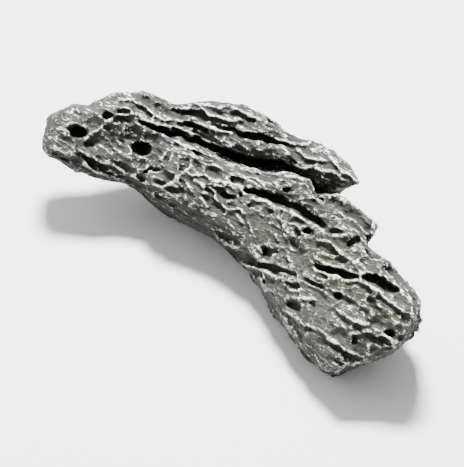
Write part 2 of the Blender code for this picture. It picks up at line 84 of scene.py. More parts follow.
# Sections of the three lobes with an underside, from the narrow end to the broad one:
# along, lowest across, highest across, half thickness, height of the underside.
HEAD = [
    (-93, -10, -3, 5, 38),
    (-91, -15, -0.5, 9, 34),
    (-88, -19.5, 3.5, 13, 30),
    (-80, -20, 7, 16, 27),
    (-73, -20, 12, 17, 24),
    (-66, -19.5, 17, 18, 21),
    (-55, -17.5, 19, 19, 16.5),
    (-45, -15.5, 19, 20, 12),
    (-30, -17, 17, 20, 7),
    (-15, -17, 15, 17, 3),
]
MAIN = [
    (-45, -9, 4, 15, 15),
    (-41, -14, 9.5, 21, 12),
    (-37, -16, 11.5, 24, 9),
    (-28, -18, 11.8, 26, 5.5),
    (-18, -19.5, 12.6, 27, 2.5),
    (-8, -19.5, 14.5, 28, 0.5),
    (2, -21, 16.5, 29, -0.5),
    (12, -24, 18.5, 29, -0.8),
    (22, -29, 18, 29, -0.8),
    (32, -34.5, 15.5, 29, -0.8),
    (42, -40.5, 15.5, 29, -0.8),
    (50, -43.5, 12, 29, -0.8),
    (58, -47, 7.5, 29, -0.8),
    (68, -49, 6, 28, -0.5),
    (74, -44, 3, 28, 1),
    (80, -37, 0.5, 27, 5),
    (86, -30, -1.5, 24, 11),
    (89.5, -24.5, -5, 19, 17),
    (91, -19, -10, 10, 24),
]
BACK = [
    (-28, -8, 6, 12, 5),
    (-12, -12, 8, 20, 1),
    (10, -14, 10, 24, -0.8),
    (35, -15, 12, 25, -0.8),
    (58, -20, 3, 24, -0.8),
    (73, -20, 0, 20, 1),
    (82, -16, -5, 13, 6),
]
# Sections of the lobes behind and above them. The last column is how far out their middle lies
# from the middle of the body.
CREST = [
    (-80, 1, 6, 8, -2),
    (-73, 3, 17, 12, -2),
    (-64, 7, 23, 15, -3),
    (-55, 10, 24.8, 16, -4),
    (-47, 13, 25.2, 17, -5),
    (-40, 15, 29, 18, -6),
    (-30, 17.5, 33.5, 19, -7),
    (-20, 18.5, 36.8, 20, -8),
    (-10, 19.3, 38.2, 20, -9),
    (-2, 21, 37.4, 20, -10),
    (6, 24.8, 35.8, 19, -11),
    (12, 25, 37.4, 18, -12),
    (18, 22.5, 38, 17, -13),
    (24, 19.5, 38, 16, -13),
    (30, 20.5, 36.4, 14, -13),
    (35, 24, 34.6, 11, -13),
    (39, 28, 32.8, 7, -13),
    (41.5, 30.6, 31.6, 3, -13),
]
WEB = [
    (-60, 0, 20, 10, -8),
    (-45, 2, 24, 13, -13),
    (-20, 4, 30, 14, -19),
    (0, 4, 31, 14, -23),
    (20, 6, 32, 13, -24),
    (29, 10, 30, 11, -24),
    (35, 16, 28, 7, -23),
]
LEDGE = [
    (4, 12, 17.5, 8, 2),
    (10, 12, 20.6, 14, 4),
    (16, 12, 21.8, 15, 4),
    (21, 13, 21.6, 13, 3),
    (25.5, 14, 19.5, 8, 2),
]
FLAKE = [
    (24, 6, 16, 4, 5),
    (31, 6, 21.5, 6, 4),
    (40, 6, 22.8, 6, 3),
    (48, 6, 21.6, 6, 2),
    (54, 7, 19.8, 6, 1),
    (57, 9, 18.2, 4, 0),
]
# Each lobe: its sections, how square they are, and how softly it runs into the ones before it.
LOBES = [
    (HEAD, 3.6, 0.5),
    (MAIN, 3.4, 5.0),
    (CREST, 4.5, 3.0),
    (WEB, 2.6, 2.0),
    (BACK, 2.3, 6.0),
    (LEDGE, 3.5, 1.0),
    (FLAKE, 4.5, 0.8),
]
# A gentle bend of space, by this much along, across and out, keeps them from looking turned.
BEND_SIZE = 20.0
BEND_HEIGHT = (2.0, 1.6, 4.5)
# The body's middle passes from the head's to the main lobe's over this stretch.
HANDOVER_START = -46.0
HANDOVER_LENGTH = 24.0
# How finely the curves through their sections are drawn, and half the least width of a lobe.
KNOT_STEP = 0.5
LEAST_HALF = 0.5

# Slots of the main face: depth, then along, across and half width at points down the slot.
SLOTS = [
    # between the upper ridge and the main body
    (13, [(-57, 11.5, 0.8), (-48, 12.2, 1.4), (-38, 14, 1.3), (-20, 15.8, 1.5), (-8, 17.3, 2),
          (4, 20.8, 2.4)]),
    (9, [(0, 20.6, 2), (8, 22.6, 1.6), (14, 23, 1), (20, 23, 0.6)]),
    # in the upper ridge
    (8, [(-27, 24.3, 0.6), (-18, 26.5, 1.2), (-8, 29, 1.6), (0, 30.6, 1.2), (6, 31.6, 0.5)]),
    (5, [(-46, 23, 0.8), (-40, 24.6, 1.3), (-30, 26.4, 0.9)]),
    (5, [(-38.5, 20.6, 1), (-34, 20.8, 1.3), (-29, 21.4, 0.9)]),
    (3, [(-28, 31, 0.9), (-20, 33.2, 1), (-12, 34.3, 0.8)]),
    # under the main crest
    (12, [(-2.5, 5.6, 0.8), (4, 7, 1.6), (10, 7.8, 2), (20, 8.4, 2.1), (30, 8.2, 2.2), (36, 7.6, 1.4)]),
    (6, [(37.5, 6.2, 1), (41, 7.2, 1.6), (44, 8.2, 1)]),
    (7, [(49.5, 4.6, 1.6), (51, 8, 2.2)]),
    # lower body
    (12, [(41, -9.8, 1), (47, -8.6, 1.7), (54, -7.4, 2), (59, -5.6, 1)]),
    (11, [(61.5, -4.4, 1.2), (66, -3.6, 2.2), (72, -3.8, 2.4), (77, -3, 1.3)]),
    (13, [(4, -22, 3.6), (12, -21, 2.8), (23, -19, 1.8), (34.5, -17, 0.8)]),
    (6, [(39.5, -16.8, 0.8), (48, -17, 0.9)]),
]
# Flats that slope in from one edge to another: depth, the share of it that lies under the first edge
# at once, then along, across at the first edge and across at the other.
FACETS = [
    # under overhanging edges
    (11, 0.16, [(12, 25.6, 23.4), (18, 26.8, 21.6), (22, 28.2, 19.6), (26, 29.4, 18.8), (32, 30, 20.6),
                (36, 30.4, 24), (41, 31, 30.4)]),
    (6, 0.16, [(2, 9.5, 6.5), (8, 12.5, 7.5), (14, 15.5, 8), (20, 16.2, 8.4), (28, 14, 8.2),
               (36, 9, 7.6)]),
    (5, 0.4, [(33, 20.5, 17.4), (40, 22, 17), (47, 21.3, 15.8), (54, 19, 13.5)]),
    (3.5, 0.5, [(-74, -6, -9), (-71.5, -0.5, -8), (-69, 5, -6.5), (-66, 9.5, -5), (-61, 12.4, -3),
                (-55, 13.4, 0), (-49, 12.4, 4)]),
    (5, 0.16, [(38, -6.5, -10.5), (48, -4.5, -9), (58, -2.5, -6.5)]),
    # the turned-down flank
    (6, 0, [(-84, -15, -26), (-60, -14, -26), (-45, -12, -25), (-34, -8, -25), (-18, -8, -25),
            (0, -10, -26), (8, -14, -27)]),
    # the turned-up top of the head and of the upper ridge
    (3.5, 0, [(-76, 8, 18), (-69, 13, 24), (-60, 15.5, 27), (-50, 15, 28), (-43, 18, 29)]),
    (3, 0, [(-41, 26, 34), (-30, 28, 38), (-20, 30, 41), (-10, 31.5, 42), (2, 33, 42)]),
    (4.5, 0, [(4, 30, 41), (12, 27, 42), (18, 28, 42), (22, 29.4, 42), (26, 30.2, 41), (32, 30.8, 39),
              (38, 31.2, 35)]),
]
# Small slots, too fine for the solid.
FINE_SLOTS = [
    (0.8, [(-88, -15, 0.5), (-80, -12, 0.6), (-74, -10.6, 0.4)]),
    (1.5, [(-74, -13.5, 0.8), (-66, -13, 1), (-58, -12, 0.6)]),
    (2, [(-42, 27.6, 0.6), (-36, 28.2, 0.5)]),
    (2.5, [(-1, 14.8, 0.6), (4, 15.8, 1), (8, 16.4, 0.7)]),
    (3, [(-9, 7.2, 0.7), (-5, 7.4, 0.9), (-2, 6.6, 0.6)]),
    (2.5, [(35.5, 2, 0.5), (38.5, 2.2, 0.4)]),
    (2.5, [(35, -6.6, 0.6), (38, -7.2, 0.6)]),
    (2, [(20.5, -3.2, 0.6), (24, -3.6, 0.6)]),
    (3, [(32, -22.2, 0.7), (36, -21.6, 0.8)]),
    (2, [(38, -21.6, 0.5), (42, -21.2, 0.4)]),
    (2.5, [(70, -20.8, 0.4), (76, -21, 0.5)]),
    (2, [(74, -18.6, 0.5), (79, -19.5, 0.5)]),
    (2, [(60, -19, 0.5), (63, -19.2, 0.4)]),
    (2, [(84, -9.5, 0.6), (89, -11, 0.5)]),
    (2, [(70, -14, 0.6), (78, -12.6, 0.5)]),
    (2.5, [(44, -24.5, 0.5), (50, -25.6, 0.7), (56, -25.4, 0.4)]),
    (2, [(48, -30.5, 0.6), (58, -30, 0.8), (66, -29, 0.5)]),
    (2, [(64, -35.5, 0.6), (72, -37.5, 0.7)]),
    (2, [(60, -43, 0.6), (70, -42.5, 0.8)]),
    (2, [(58, 3.6, 0.6), (66, 3.8, 0.6), (72, 2.8, 0.4)]),
    (2, [(66, 0.4, 0.5), (76, -0.6, 0.6)]),
]
# Pits of the main face: depth, along, across, half length, half width, turn in degrees.
PITS = [
    (10, -78.3, -4.8, 3.8, 2.4, 22),
    (6, -70.7, 6.8, 2.1, 1.3, 25),
    (4, -60.5, 16, 3.6, 1.1, 12),
    (11, -50.5, 1.2, 4.4, 3.3, 25),
    (6, -17.5, 6.4, 4.6, 2.2, 4),
    (6, -7, 0.2, 4.4, 1.6, 8),
    (3, -6, 7.3, 4, 1, -6),
    (3.5, 28, -4.2, 4.2, 3.2, 15),
    (5, 32, 2.2, 2.8, 1.5, 0),
    (7, 55.6, -16.8, 2.7, 1.7, 4),
    (5, 36.4, -14.6, 1.5, 1.4, 0),
    (6, 18.8, -14.8, 2.8, 2.5, 20),
    (3, 5, -15.2, 4.4, 2.3, 22),
    (8, 40.4, -29.2, 3.4, 2, 6),
    (7, 82.3, -21.2, 2.3, 1.9, 0),
    (6, 88, -20.6, 2.3, 2.3, 0),
    (2.5, 68, -11.6, 7, 2.2, -4),
    (2.5, 57, -37.2, 6.5, 2.2, 8),
    (2.5, 43, -36.6, 3.6, 2.2, -10),
    (2, 62, -32.5, 4.4, 1.8, 5),
]
FINE_PITS = [
    (2.5, 48.8, -19.1, 1.3, 0.9, -20),
    (2, 48.8, -21.3, 0.8, 0.8, 0),
    (3, 67.8, -18.3, 0.9, 0.8, 0),
    (2, 26.5, -27, 1.2, 0.9, 0),
    (2, 88.3, -7, 1, 0.9, 0),
    (2, -24, 17, 1.5, 0.6, 8),
    (2, 44, -12.8, 1.6, 0.6, 8),
    (2, -88.5, -2.5, 1.8, 0.7, 35),
    (2, -82, 2.6, 2.2, 0.6, 15),
    (2, -66.5, 21, 1.6, 0.6, 20),
    (2, 30, 34.2, 2, 0.6, -12),
    (2, 12, 29.6, 2.4, 0.7, 6),
    (2, 52, -2.6, 1.8, 0.6, -6),
]
# Broad hollows of the main face, in the same terms, with soft rims.
HOLLOWS = [
    (6, -58, 3.5, 17, 8.5, 20),
    (2.5, -22, -8, 14, 4, -8),
    (1.5, -12, 23.5, 14, 4, 12),
    (2.5, 20, 13.2, 14, 3.2, 4),
    (3, 22, -12, 7, 4.5, 20),
    (2, 74, -15, 8, 2.5, 0),
]
# Crests that weathering left standing on the main face: along and across at points along each.
CRESTS = [
    # head
    [(-74, -8), (-72, -2), (-69.5, 3.5), (-67, 9), (-62, 12.6), (-57, 14.2), (-50, 13.6), (-45, 15.6)],
    [(-45, 15.6), (-40, 17.2), (-30, 17.4), (-20, 18.4), (-10, 19.6), (-6, 20.4)],
    [(-69, 16.5), (-63, 18.4), (-57, 18.4), (-52, 17), (-47, 17.2), (-42, 19.2), (-36, 22), (-30, 22.8),
     (-25, 23.4)],
    [(-69, 1), (-64, 3.2), (-58, 4.6), (-52, 6)],
    [(-46, -7), (-43, -2), (-41, 3), (-40, 7), (-39, 10.4)],
    [(-84, -4.4), (-81, -1.6), (-76, -1)],
    [(-74, -12), (-66, -12), (-58, -10.8), (-50, -10.8), (-42, -12)],
    [(-70, -16), (-62, -16.6), (-54, -15.2), (-47, -14.6)],
    # upper ridge
    [(-45, 23.8), (-42, 26.4), (-38, 28.6), (-30, 28.4), (-24, 29.2), (-18, 30.8)],
    [(-40, 29.6), (-35, 30.6), (-29, 32.8), (-24, 35.2), (-16, 36.2), (-8, 36.4)],
    [(-25, 23.6), (-19, 25.4), (-13, 28.6), (-7, 31), (-2, 32)],
    [(0, 31.8), (5, 33.2), (10, 34.6), (13.5, 35.6), (14, 38)],
    [(-5, 26), (0, 27), (3, 25.6), (8, 25.2), (14, 25.6), (20, 28), (26, 29.6), (33, 30.2), (41, 31.2)],
    [(22, 37), (27, 34.6), (32, 32.2), (40, 31.4)],
    [(10, 32), (15, 30.6), (20, 31.6), (25, 34.8)],
    # main crest and the star below its left end
    [(-39, 10.6), (-33, 11.4), (-25, 12), (-15, 13), (-8, 14.2), (-3, 15), (2, 17), (9, 18.2)],
    [(9, 18.2), (10.5, 19.6), (15, 21), (20, 21.6), (24.5, 20)],
    [(-39, 10.6), (-37.4, 6), (-37, 0)],
    [(-34, 5.6), (-30, 7.6), (-28.4, 5), (-29.6, 0), (-31, -5), (-35, -8.8), (-40, -10.6)],
    [(-29, 0.5), (-25, -2.6), (-21, -6), (-19, -10)],
    [(-29, 0.5), (-24, 2.2), (-20, 3.6), (-15, 3.8), (-9, 5), (-2, 5.2)],
    [(-27, 0), (-20, -0.6), (-14, -1), (-11, -3.6), (-5, -5), (0, -5.2), (5, -8), (12, -9)],
    [(-10, 9.2), (-4, 10.2), (3, 10.2), (8, 13.2), (12, 15.6), (17, 18), (21, 17.6), (25, 16)],
    [(25, 16), (32, 16), (40, 16.4), (47, 15), (53.5, 13.2)],
    [(-2, 12.8), (4, 12.6), (9, 14.8), (11, 17.6)],
    [(2, 4), (8, 4.8), (15, 5), (18.8, 7.4), (21.5, 5.8), (28, 6), (36, 5.6)],
    [(16, 2), (21, 1.4), (25, 2.6), (29, 0.2), (34, 0.2), (38, 1.6), (43, 2.4), (49, 0.6), (56, -1.4),
     (62, -4.2)],
    [(-4, -4.6), (0, -2.4), (4, -4.4), (8, -8)],
    [(14, -2), (20, -2), (24, -5), (28, -8.4)],
    [(38, -9), (43, -6.8), (50, -6), (56, -5), (61, -5.4)],
    [(40, -11), (48, -10.6), (55, -9.6), (60, -7.2), (66, -6.4), (70, -8), (77, -8.8), (84, -10),
     (90, -10.6)],
    # lips above the lower lobe
    [(-11, -14.4), (-6, -16.6), (-2, -18.4), (2, -19.2), (6, -17.4), (10, -15.4), (14, -16.8),
     (17.5, -18.6), (22, -17.8), (28, -16.8), (35, -15.8)],
    [(13, -15), (16, -11), (20, -9), (26, -8.6)],
    [(35, -15.8), (42, -15.4), (50, -15.8), (60, -14.8), (66, -15.6), (71, -16)],
    # lower lobe
    [(12, -23.4), (20, -22), (28, -22), (34, -19.8), (40, -18.6), (46, -18.4), (52, -19)],
    [(55, -21.6), (60, -22.6), (66, -23.6), (71, -22.6)],
    [(36, -28), (39, -25.6), (44, -24), (48, -22.6)],
    [(37, -33), (42, -34), (48, -35), (53, -33.8), (60, -34.8), (68, -36), (78, -36)],
    [(21, -25.8), (25.6, -29.4), (29, -27.4), (34, -30.6)],
    [(38, -36), (42, -39), (48, -40.6)],
    [(68, -28.4), (74, -24.8), (80, -23.6), (85.4, -23.4), (87.5, -26)],
    [(70, -47), (72, -42.4), (76, -39), (82, -36), (87, -31.6)],
]
# How wide the crests are, and how far they stand out.
CREST_WIDTH = 0.8
CREST_LIFT = 1.2
# The face drops away under each crest by this much, over this distance, and rises again by there.
UNDERCUT = 3.2
UNDERCUT_DROP = 1.1
UNDERCUT_REACH = 6.0
# How the walls of pits and of hollows curve: the power of the share of their way in.
PIT_WALL = 0.5
HOLLOW_WALL = 1.2
# The relief is worked out on a map of the main face, and its edges wander a little. Relief that is
# less deep than RELIEF_LEAST isn't cut, and space further before the face than CUT_REACH is left.
FACE_LOW = (-104.0, -62.0)
FACE_HIGH = (108.0, 52.0)
RELIEF_STEP = 0.5
RELIEF_EDGE = 1.6
RELIEF_EDGE_SIZE = 5.5
RELIEF_LEAST = 0.05
CUT_REACH = 2.0
# The face is searched for from this far out. NOWHERE stands for its depth where there is none.
SEARCH_FROM = 150.0
NOWHERE = -FAR
# The map keeps the outermost of each place and these neighbours, RIM_STEPS times, so that rims
# aren't shaved. It runs on past its rim by RIM_REACH steps, and parts of it are blurred.
RIM = [(0, 1), (1, 0), (1, 1), (1, 2), (2, 1)]
RIM_STEPS = 2
RIM_REACH = 24
BLUR_ROUNDS = 12

# Weathering. Sizes are along the grain, through the layers, which are tilted and fan out to the
# right, and along their other edge. It is worked out within WEATHER_REACH of the surface, and goes
# no deeper than DEEPEST_WEAR.
LAYER_TILT = math.radians(42)
FAN_RATE = 0.0032
WEATHER_REACH = 7.0
DEEPEST_WEAR = 6.5
WANDER_SIZE = (26, 11, 13)
WANDER = 3.0
LUMP_SIZE = (36, 15, 17)
LUMP_HEIGHT = 2.2
RIB_SIZE = (38, 6.5, 22)
RIB_HEIGHT = 1.1
RIB_SPREAD = 0.3
RIB_MIDDLE = 0.5
# broken layers: blocks of rock that stand a little higher or lower than their neighbours
BLOCK_SIZE = (44, 11, 17)
BLOCK_HEIGHT = 2.0
BLOCK_MIDDLE = 0.5
# scallops: the size of one, its depth, how wide the crests between them are, the least depth of one
# as a share, and how much of them the main face has
SCALLOPS = [
    ((27, 8.5, 10), 4.4, 0.60, 0.5, 0.8),
    ((14, 4.8, 5.4), 4.0, 0.60, 0.4, 1.0),
    ((7.5, 2.6, 3.0), 1.9, 0.5, 0.2, 1.0),
]
# The part of a scallop's depth by which its crest stands out.
SCALLOP_MIDDLE = 0.4
# How much deeper a scallop is at its top, and at one of its ends. Its own random value, spread by
# SCALLOP_TURN, picks the end. The depth is never less nor more than these shares of its own.
SCALLOP_LEAN = 0.8
SCALLOP_TILT = 0.7
SCALLOP_TURN = 97
SCALLOP_SHARES = (0.25, 1.9)
# How far crests may stand out, off the main face and on it, and how round their tops are.
FURTHEST_OUT = (0.9, 2.6)
OUTER_ROUNDING = 0.4
# Broad wear counts this much on the main face, which reaches this far in. There, wear fades out on
# steep walls between these two depths of relief, and scallops are less by this share at the rim.
BROAD_ON_FACE = 0.5
FACE_THICKNESS = 7.0
WALLS = (2.5, 4.0)
RIM_CALM = 0.8
# Calm stretches of the main face have less wear of every size: how much less, along, across, half
# length, half width, turn in degrees.
CALM = [
    (0.75, 24, 32, 22, 6, -3),
    (0.35, -20, 30, 24, 8, 12),
    (0.6, -22, 22, 13, 4, 10),
    (0.5, -56, 18, 16, 4, 8),
    (0.3, -40, 6, 10, 7, 20),
    (0.3, -14, -13, 18, 6, 0),
    (0.25, 72, -38, 16, 9, -20),
    (0.7, -82, -4, 15, 14, 10),
    (0.5, 68, -27, 18, 9, -12),
    (0.5, 80, -14, 12, 8, -8),
    (0.35, 26, -27, 14, 7, -12),
    (0.4, -60, -8, 16, 5, 5),
    (0.65, 58, -32, 24, 12, -12),
    (0.6, 45, 18, 12, 5, -12),
]
# How calm one is at its middle, where over 1 counts as 1, and how fast that falls with the square of
# the way to its edge.
CALM_MIDDLE = 2.0
CALM_FALL = 1.5
# long deep pits: the size of their cells, their depth, the share of cells that have one, how much of
# a cell one takes, and where they fade out: how far before the body's middle, and over how much
GASH_SIZE = (27, 8.5, 10)
GASH_DEPTH = 6.0
GASH_SHARE = 0.42
GASH_REACH = 0.44
FACE_FADE = (4.0, 8.0)

# Grain that is too fine for the field, pressed into the finished surface: small scallops, with the
# width of their crests and the least depth of one as a share, then ribs, and then noise.
GRAIN_CELLS = (3.4, 1.4, 1.6)
GRAIN_CELL_DEPTH = 0.35
GRAIN_CREST = 0.4
GRAIN_LEAST = 0.3
GRAIN_RIBS = (9, 1.5, 4)
GRAIN_RIB_DEPTH = 0.30
GRAIN_RIB_SPREAD = 0.4
GRAIN_NOISE = (1.9, 1.2, 1.3)
GRAIN_NOISE_DEPTH = 0.22
# Tips that stand over the surface smoothed by so many rounds are worn down to so high.
TIPS = [(14, 0.85), (5, 0.42)]
# The surface is sharpened by this share of its own relief, up to this height or depth.
SHARPENING = 0.9
SHARPENING_ROUNDS = 3
SHARPENING_LIMIT = 0.5
# The side that is looked at keeps its triangles, and the others share this many. A point is on the
# side that is looked at where its normal leans out by more than this.
OTHER_TRIANGLES = 80000
SEEN_FROM = 0.1
# How far the surface is smoothed to tell crests from hollows, in rounds, from fine to broad, and to
# tell which way it faces. The material paints hollows and undersides dark with these, as painted
# shade, and crests pale, partly as wear and partly as a painted highlight.
HEIGHT_ROUNDS = {"height_fine": 3, "height_middle": 14, "height_broad": 70}
RISE_ROUNDS = 6
# How far before the surface the space is tried, to tell how closed in it is. The material paints
# shade into closed-in places with it.
OPENNESS = {"open_near": 1.5, "open_far": 5.0}

# Patches of colour on the main face: along, across, half length, half width and strength. The
# first ones are yellow-green. The others are partly wear and partly painted light and painted shade:
# paler, or darker where the strength is below 0.
PATCHES = {
    "tint": [
        (41, -2, 9, 4.5, 1),
        (52, -12, 10, 3.5, 1),
        (76, -15, 7, 3, 1),
    ],
    # paler and darker patches, partly wear and partly painted light and painted shade, such as the
    # painted shadow on the lower flank
    "worn": [
        (-70, 5, 13, 7, 0.8),
        (-56, -10, 12, 4, 0.7),
        (-60, 18, 12, 4, 0.4),
        (-20, 20.5, 14, 3.5, 1),
        (-24, 28, 22, 4, 0.5),
        (64, -25, 16, 6, 0.7),
        (83, -13, 8, 6, 0.6),
        (-74, -20, 14, 5, -0.7),
        (-44, -17, 20, 6, -0.9),
        (-8, -20, 16, 9, -0.8),
        (14, -30, 14, 5, -0.6),
        (10, -10, 16, 4, -0.4),
        (30, 13, 16, 6, -0.6),
        (34, -37, 16, 6, -0.4),
        (32, -1, 6, 5, -0.4),
    ],
}

# What makes the stone pale or dark: the value, the span it is read over, and how much it counts.
# Hollows are dark as painted shade, and crests pale, partly as wear and partly as a painted highlight.
PALE_PARTS = [
    ("height_fine", 0.50, 0.40),
    ("height_middle", 1.3, 0.08),
    ("height_broad", 3.0, 0.06),
    ("standing", 1.0, 0.20),
]
# Noise that does so too: its size and detail, and how much it counts. It is read over this span.
PALE_NOISE = [
    ((9, 2.5, 2.5), 3, 0.09),
    ((4.6, 0.9, 1.0), 2, 0.12),
    ((1.8, 0.45, 0.55), 2, 0.16),
]
NOISE_SPAN = (0.3, 0.7)
NOISE_ROUGHNESS = 0.6
# Fine scallops that are only in the material: their size, how far they wander and by which noise,
# how deep they look, and how far in from their edge they are that deep, in scallop sizes.
EDGE_SIZE = (6.5, 2.2, 2.4)
EDGE_WANDER = 0.7
EDGE_WANDER_NOISE = ((3, 2, 2), 2)
EDGE_DEPTH = 0.5
EDGE_SLOPE = 0.3
# The crests between them are pale lines, partly wear and partly a painted highlight: how wide, in
# scallop sizes, how pale they are at the least and at the most, and the noise that tells which, with
# the span it is read over.
EDGE_LINE = 0.11
EDGE_PALE = (0.12, 0.42)
EDGE_PATCHES = ((16, 7, 7), 1)
EDGE_PATCH_SPAN = (0.35, 0.65)
# The finest bumps: their noise, and their height in millimetres.
BUMP_NOISE = ((1.8, 0.9, 1.0), 4)
BUMP_HEIGHT = 0.7
# The stone's colours, from its deepest slots to its highest crests, and where each lies. The dark
# end is painted shade, and the pale end partly wear and partly a painted highlight.
STONE_COLOURS = [
    (0.24, (0.029, 0.031, 0.026)),
    (0.44, (0.039, 0.042, 0.035)),
    (0.59, (0.052, 0.056, 0.047)),
    (0.69, (0.120, 0.126, 0.108)),
    (0.78, (0.930, 0.945, 0.890)),
]
# What shades the colour: the value, the two ends of the span it is read over, and what the colour
# is multiplied by at each. Closed-in places and undersides are dark and tops pale, as painted shade;
# the patches are partly wear and partly painted light and painted shade.
SHADES = [
    # painted shade in closed-in places, near and far
    ("open_near", 0.0, 1.0, 0.65, 1.0),
    ("open_far", 0.0, 1.0, 0.65, 1.0),
    # painted shade: undersides darker, tops paler
    ("facing_up", -0.3, 0.9, 0.4, 1.2),
    # patches, partly wear and partly painted light and painted shade
    ("worn", -1.0, 1.0, 0.2, 1.8),
]
# How rough and how glossy the stone is, and how much its yellow-green patches are tinted.
ROUGHNESS = 0.7
GLOSS = 0.2
TINT_SHARE = 0.5
TINT_COLOUR = (0.85, 0.9, 0.45, 1)
FLOOR_COLOUR = (0.9, 0.9, 0.895, 1)
FLOOR_ROUGHNESS = 0.9
# Which inputs of a colour mix are its share and its two colours, and which output is its colour.
MIX_INPUTS = (0, 6, 7)
MIX_OUTPUT = 2

# The studio, in metres and watts. Each light: how far right of, above and before the stone it is,
# then its size and its power. The camera sees from the first to the second of its distances.
LIGHTS = [
    ("key", (0.0, 0.90, 0.40), 0.24, 48.0),
    ("fill", (-0.8, 0.5, 0.5), 0.7, 2.0),
]
SKY_STRENGTH = 0.8
FLOOR_REACH = 3.0
CAMERA_SPAN = (0.05, 20)


def face_axes():
    """Unit vectors along, across and out, and the picture's right and up, in the stone's own axes."""
    ca, sa = math.cos(VIEW_AZIMUTH), math.sin(VIEW_AZIMUTH)
    ce, se = math.cos(VIEW_ELEVATION), math.sin(VIEW_ELEVATION)
    right = np.array([ca, sa, 0.0])
    up = np.array([-sa * se, ca * se, ce])
    out = np.array([sa * ce, -ca * ce, se])
    cg, sg = math.cos(GRAIN_SLOPE), math.sin(GRAIN_SLOPE)
    return np.array([cg * right - sg * up, sg * right + cg * up, out]), right, up


AXES, PICTURE_RIGHT, PICTURE_UP = face_axes()
RISE = AXES[:, 2]


def curve(stations, column, x):
    """A smooth curve through one column of a table of sections."""
    table = np.array(stations, float)
    xs, ys = table[:, 0], table[:, column]
    slopes = np.gradient(ys, xs)
    i = np.clip(np.searchsorted(xs, x) - 1, 0, len(xs) - 2)
    h = xs[i + 1] - xs[i]
    u = np.clip((x - xs[i]) / h, 0, 1)
    start = ys[i] * (1 + 2 * u) * (1 - u) ** 2 + slopes[i] * h * u * (1 - u) ** 2
    end = ys[i + 1] * u * u * (3 - 2 * u) + slopes[i + 1] * h * u * u * (u - 1)
    return start + end


def resting_middle(stations, x):
    """How far out a section's middle lies, so that its underside has the height stated for it."""
    low, high, thick, under = (curve(stations, i, x) for i in (1, 2, 3, 4))
    reach = np.hypot(RISE[1] * (high - low) / 2, RISE[2] * thick)
    a0, c0, d0 = VIEW_CENTRE
    sideways = RISE[0] * (x - a0) + RISE[1] * ((low + high) / 2 - c0)
    level = reach + under - RISE[0] * a0 - RISE[1] * c0 - sideways * (1 + d0 / VIEW_DISTANCE)
    return level / (RISE[2] - sideways / VIEW_DISTANCE)


def body_middle(x):
    """How far out the body's middle lies, all along the stone."""
    share = np.clip((x - HANDOVER_START) / HANDOVER_LENGTH, 0, 1)
    return resting_middle(HEAD, x) * (1 - share) + resting_middle(MAIN, x) * share


def smooth_min(f, g, width):
    gap = np.clip(width - np.abs(f - g), 0, None) / width
    return np.minimum(f, g) - gap * gap * width / 4


def seen_place(x, y, z):
    """Where points in the stone's own axes are seen on the main face, and how far out they are."""
    a, c, d = (AXES[i, 0] * x + AXES[i, 1] * y + AXES[i, 2] * z for i in range(3))
    nearness = 1 / (1 - (d - VIEW_CENTRE[2]) / VIEW_DISTANCE)
    seen_a = VIEW_CENTRE[0] + (a - VIEW_CENTRE[0]) * nearness
    seen_c = VIEW_CENTRE[1] + (c - VIEW_CENTRE[1]) * nearness
    return tuple(v.astype(np.float32) for v in (seen_a, seen_c, d))


def own_points(a, c, d):
    """Places on the main face, turned back into the stone's own axes."""
    nearness = 1 / (1 - (d - VIEW_CENTRE[2]) / VIEW_DISTANCE)
    true_a = VIEW_CENTRE[0] + (a - VIEW_CENTRE[0]) / nearness
    true_c = VIEW_CENTRE[1] + (c - VIEW_CENTRE[1]) / nearness
    return np.stack([true_a, true_c, d], axis=-1) @ AXES


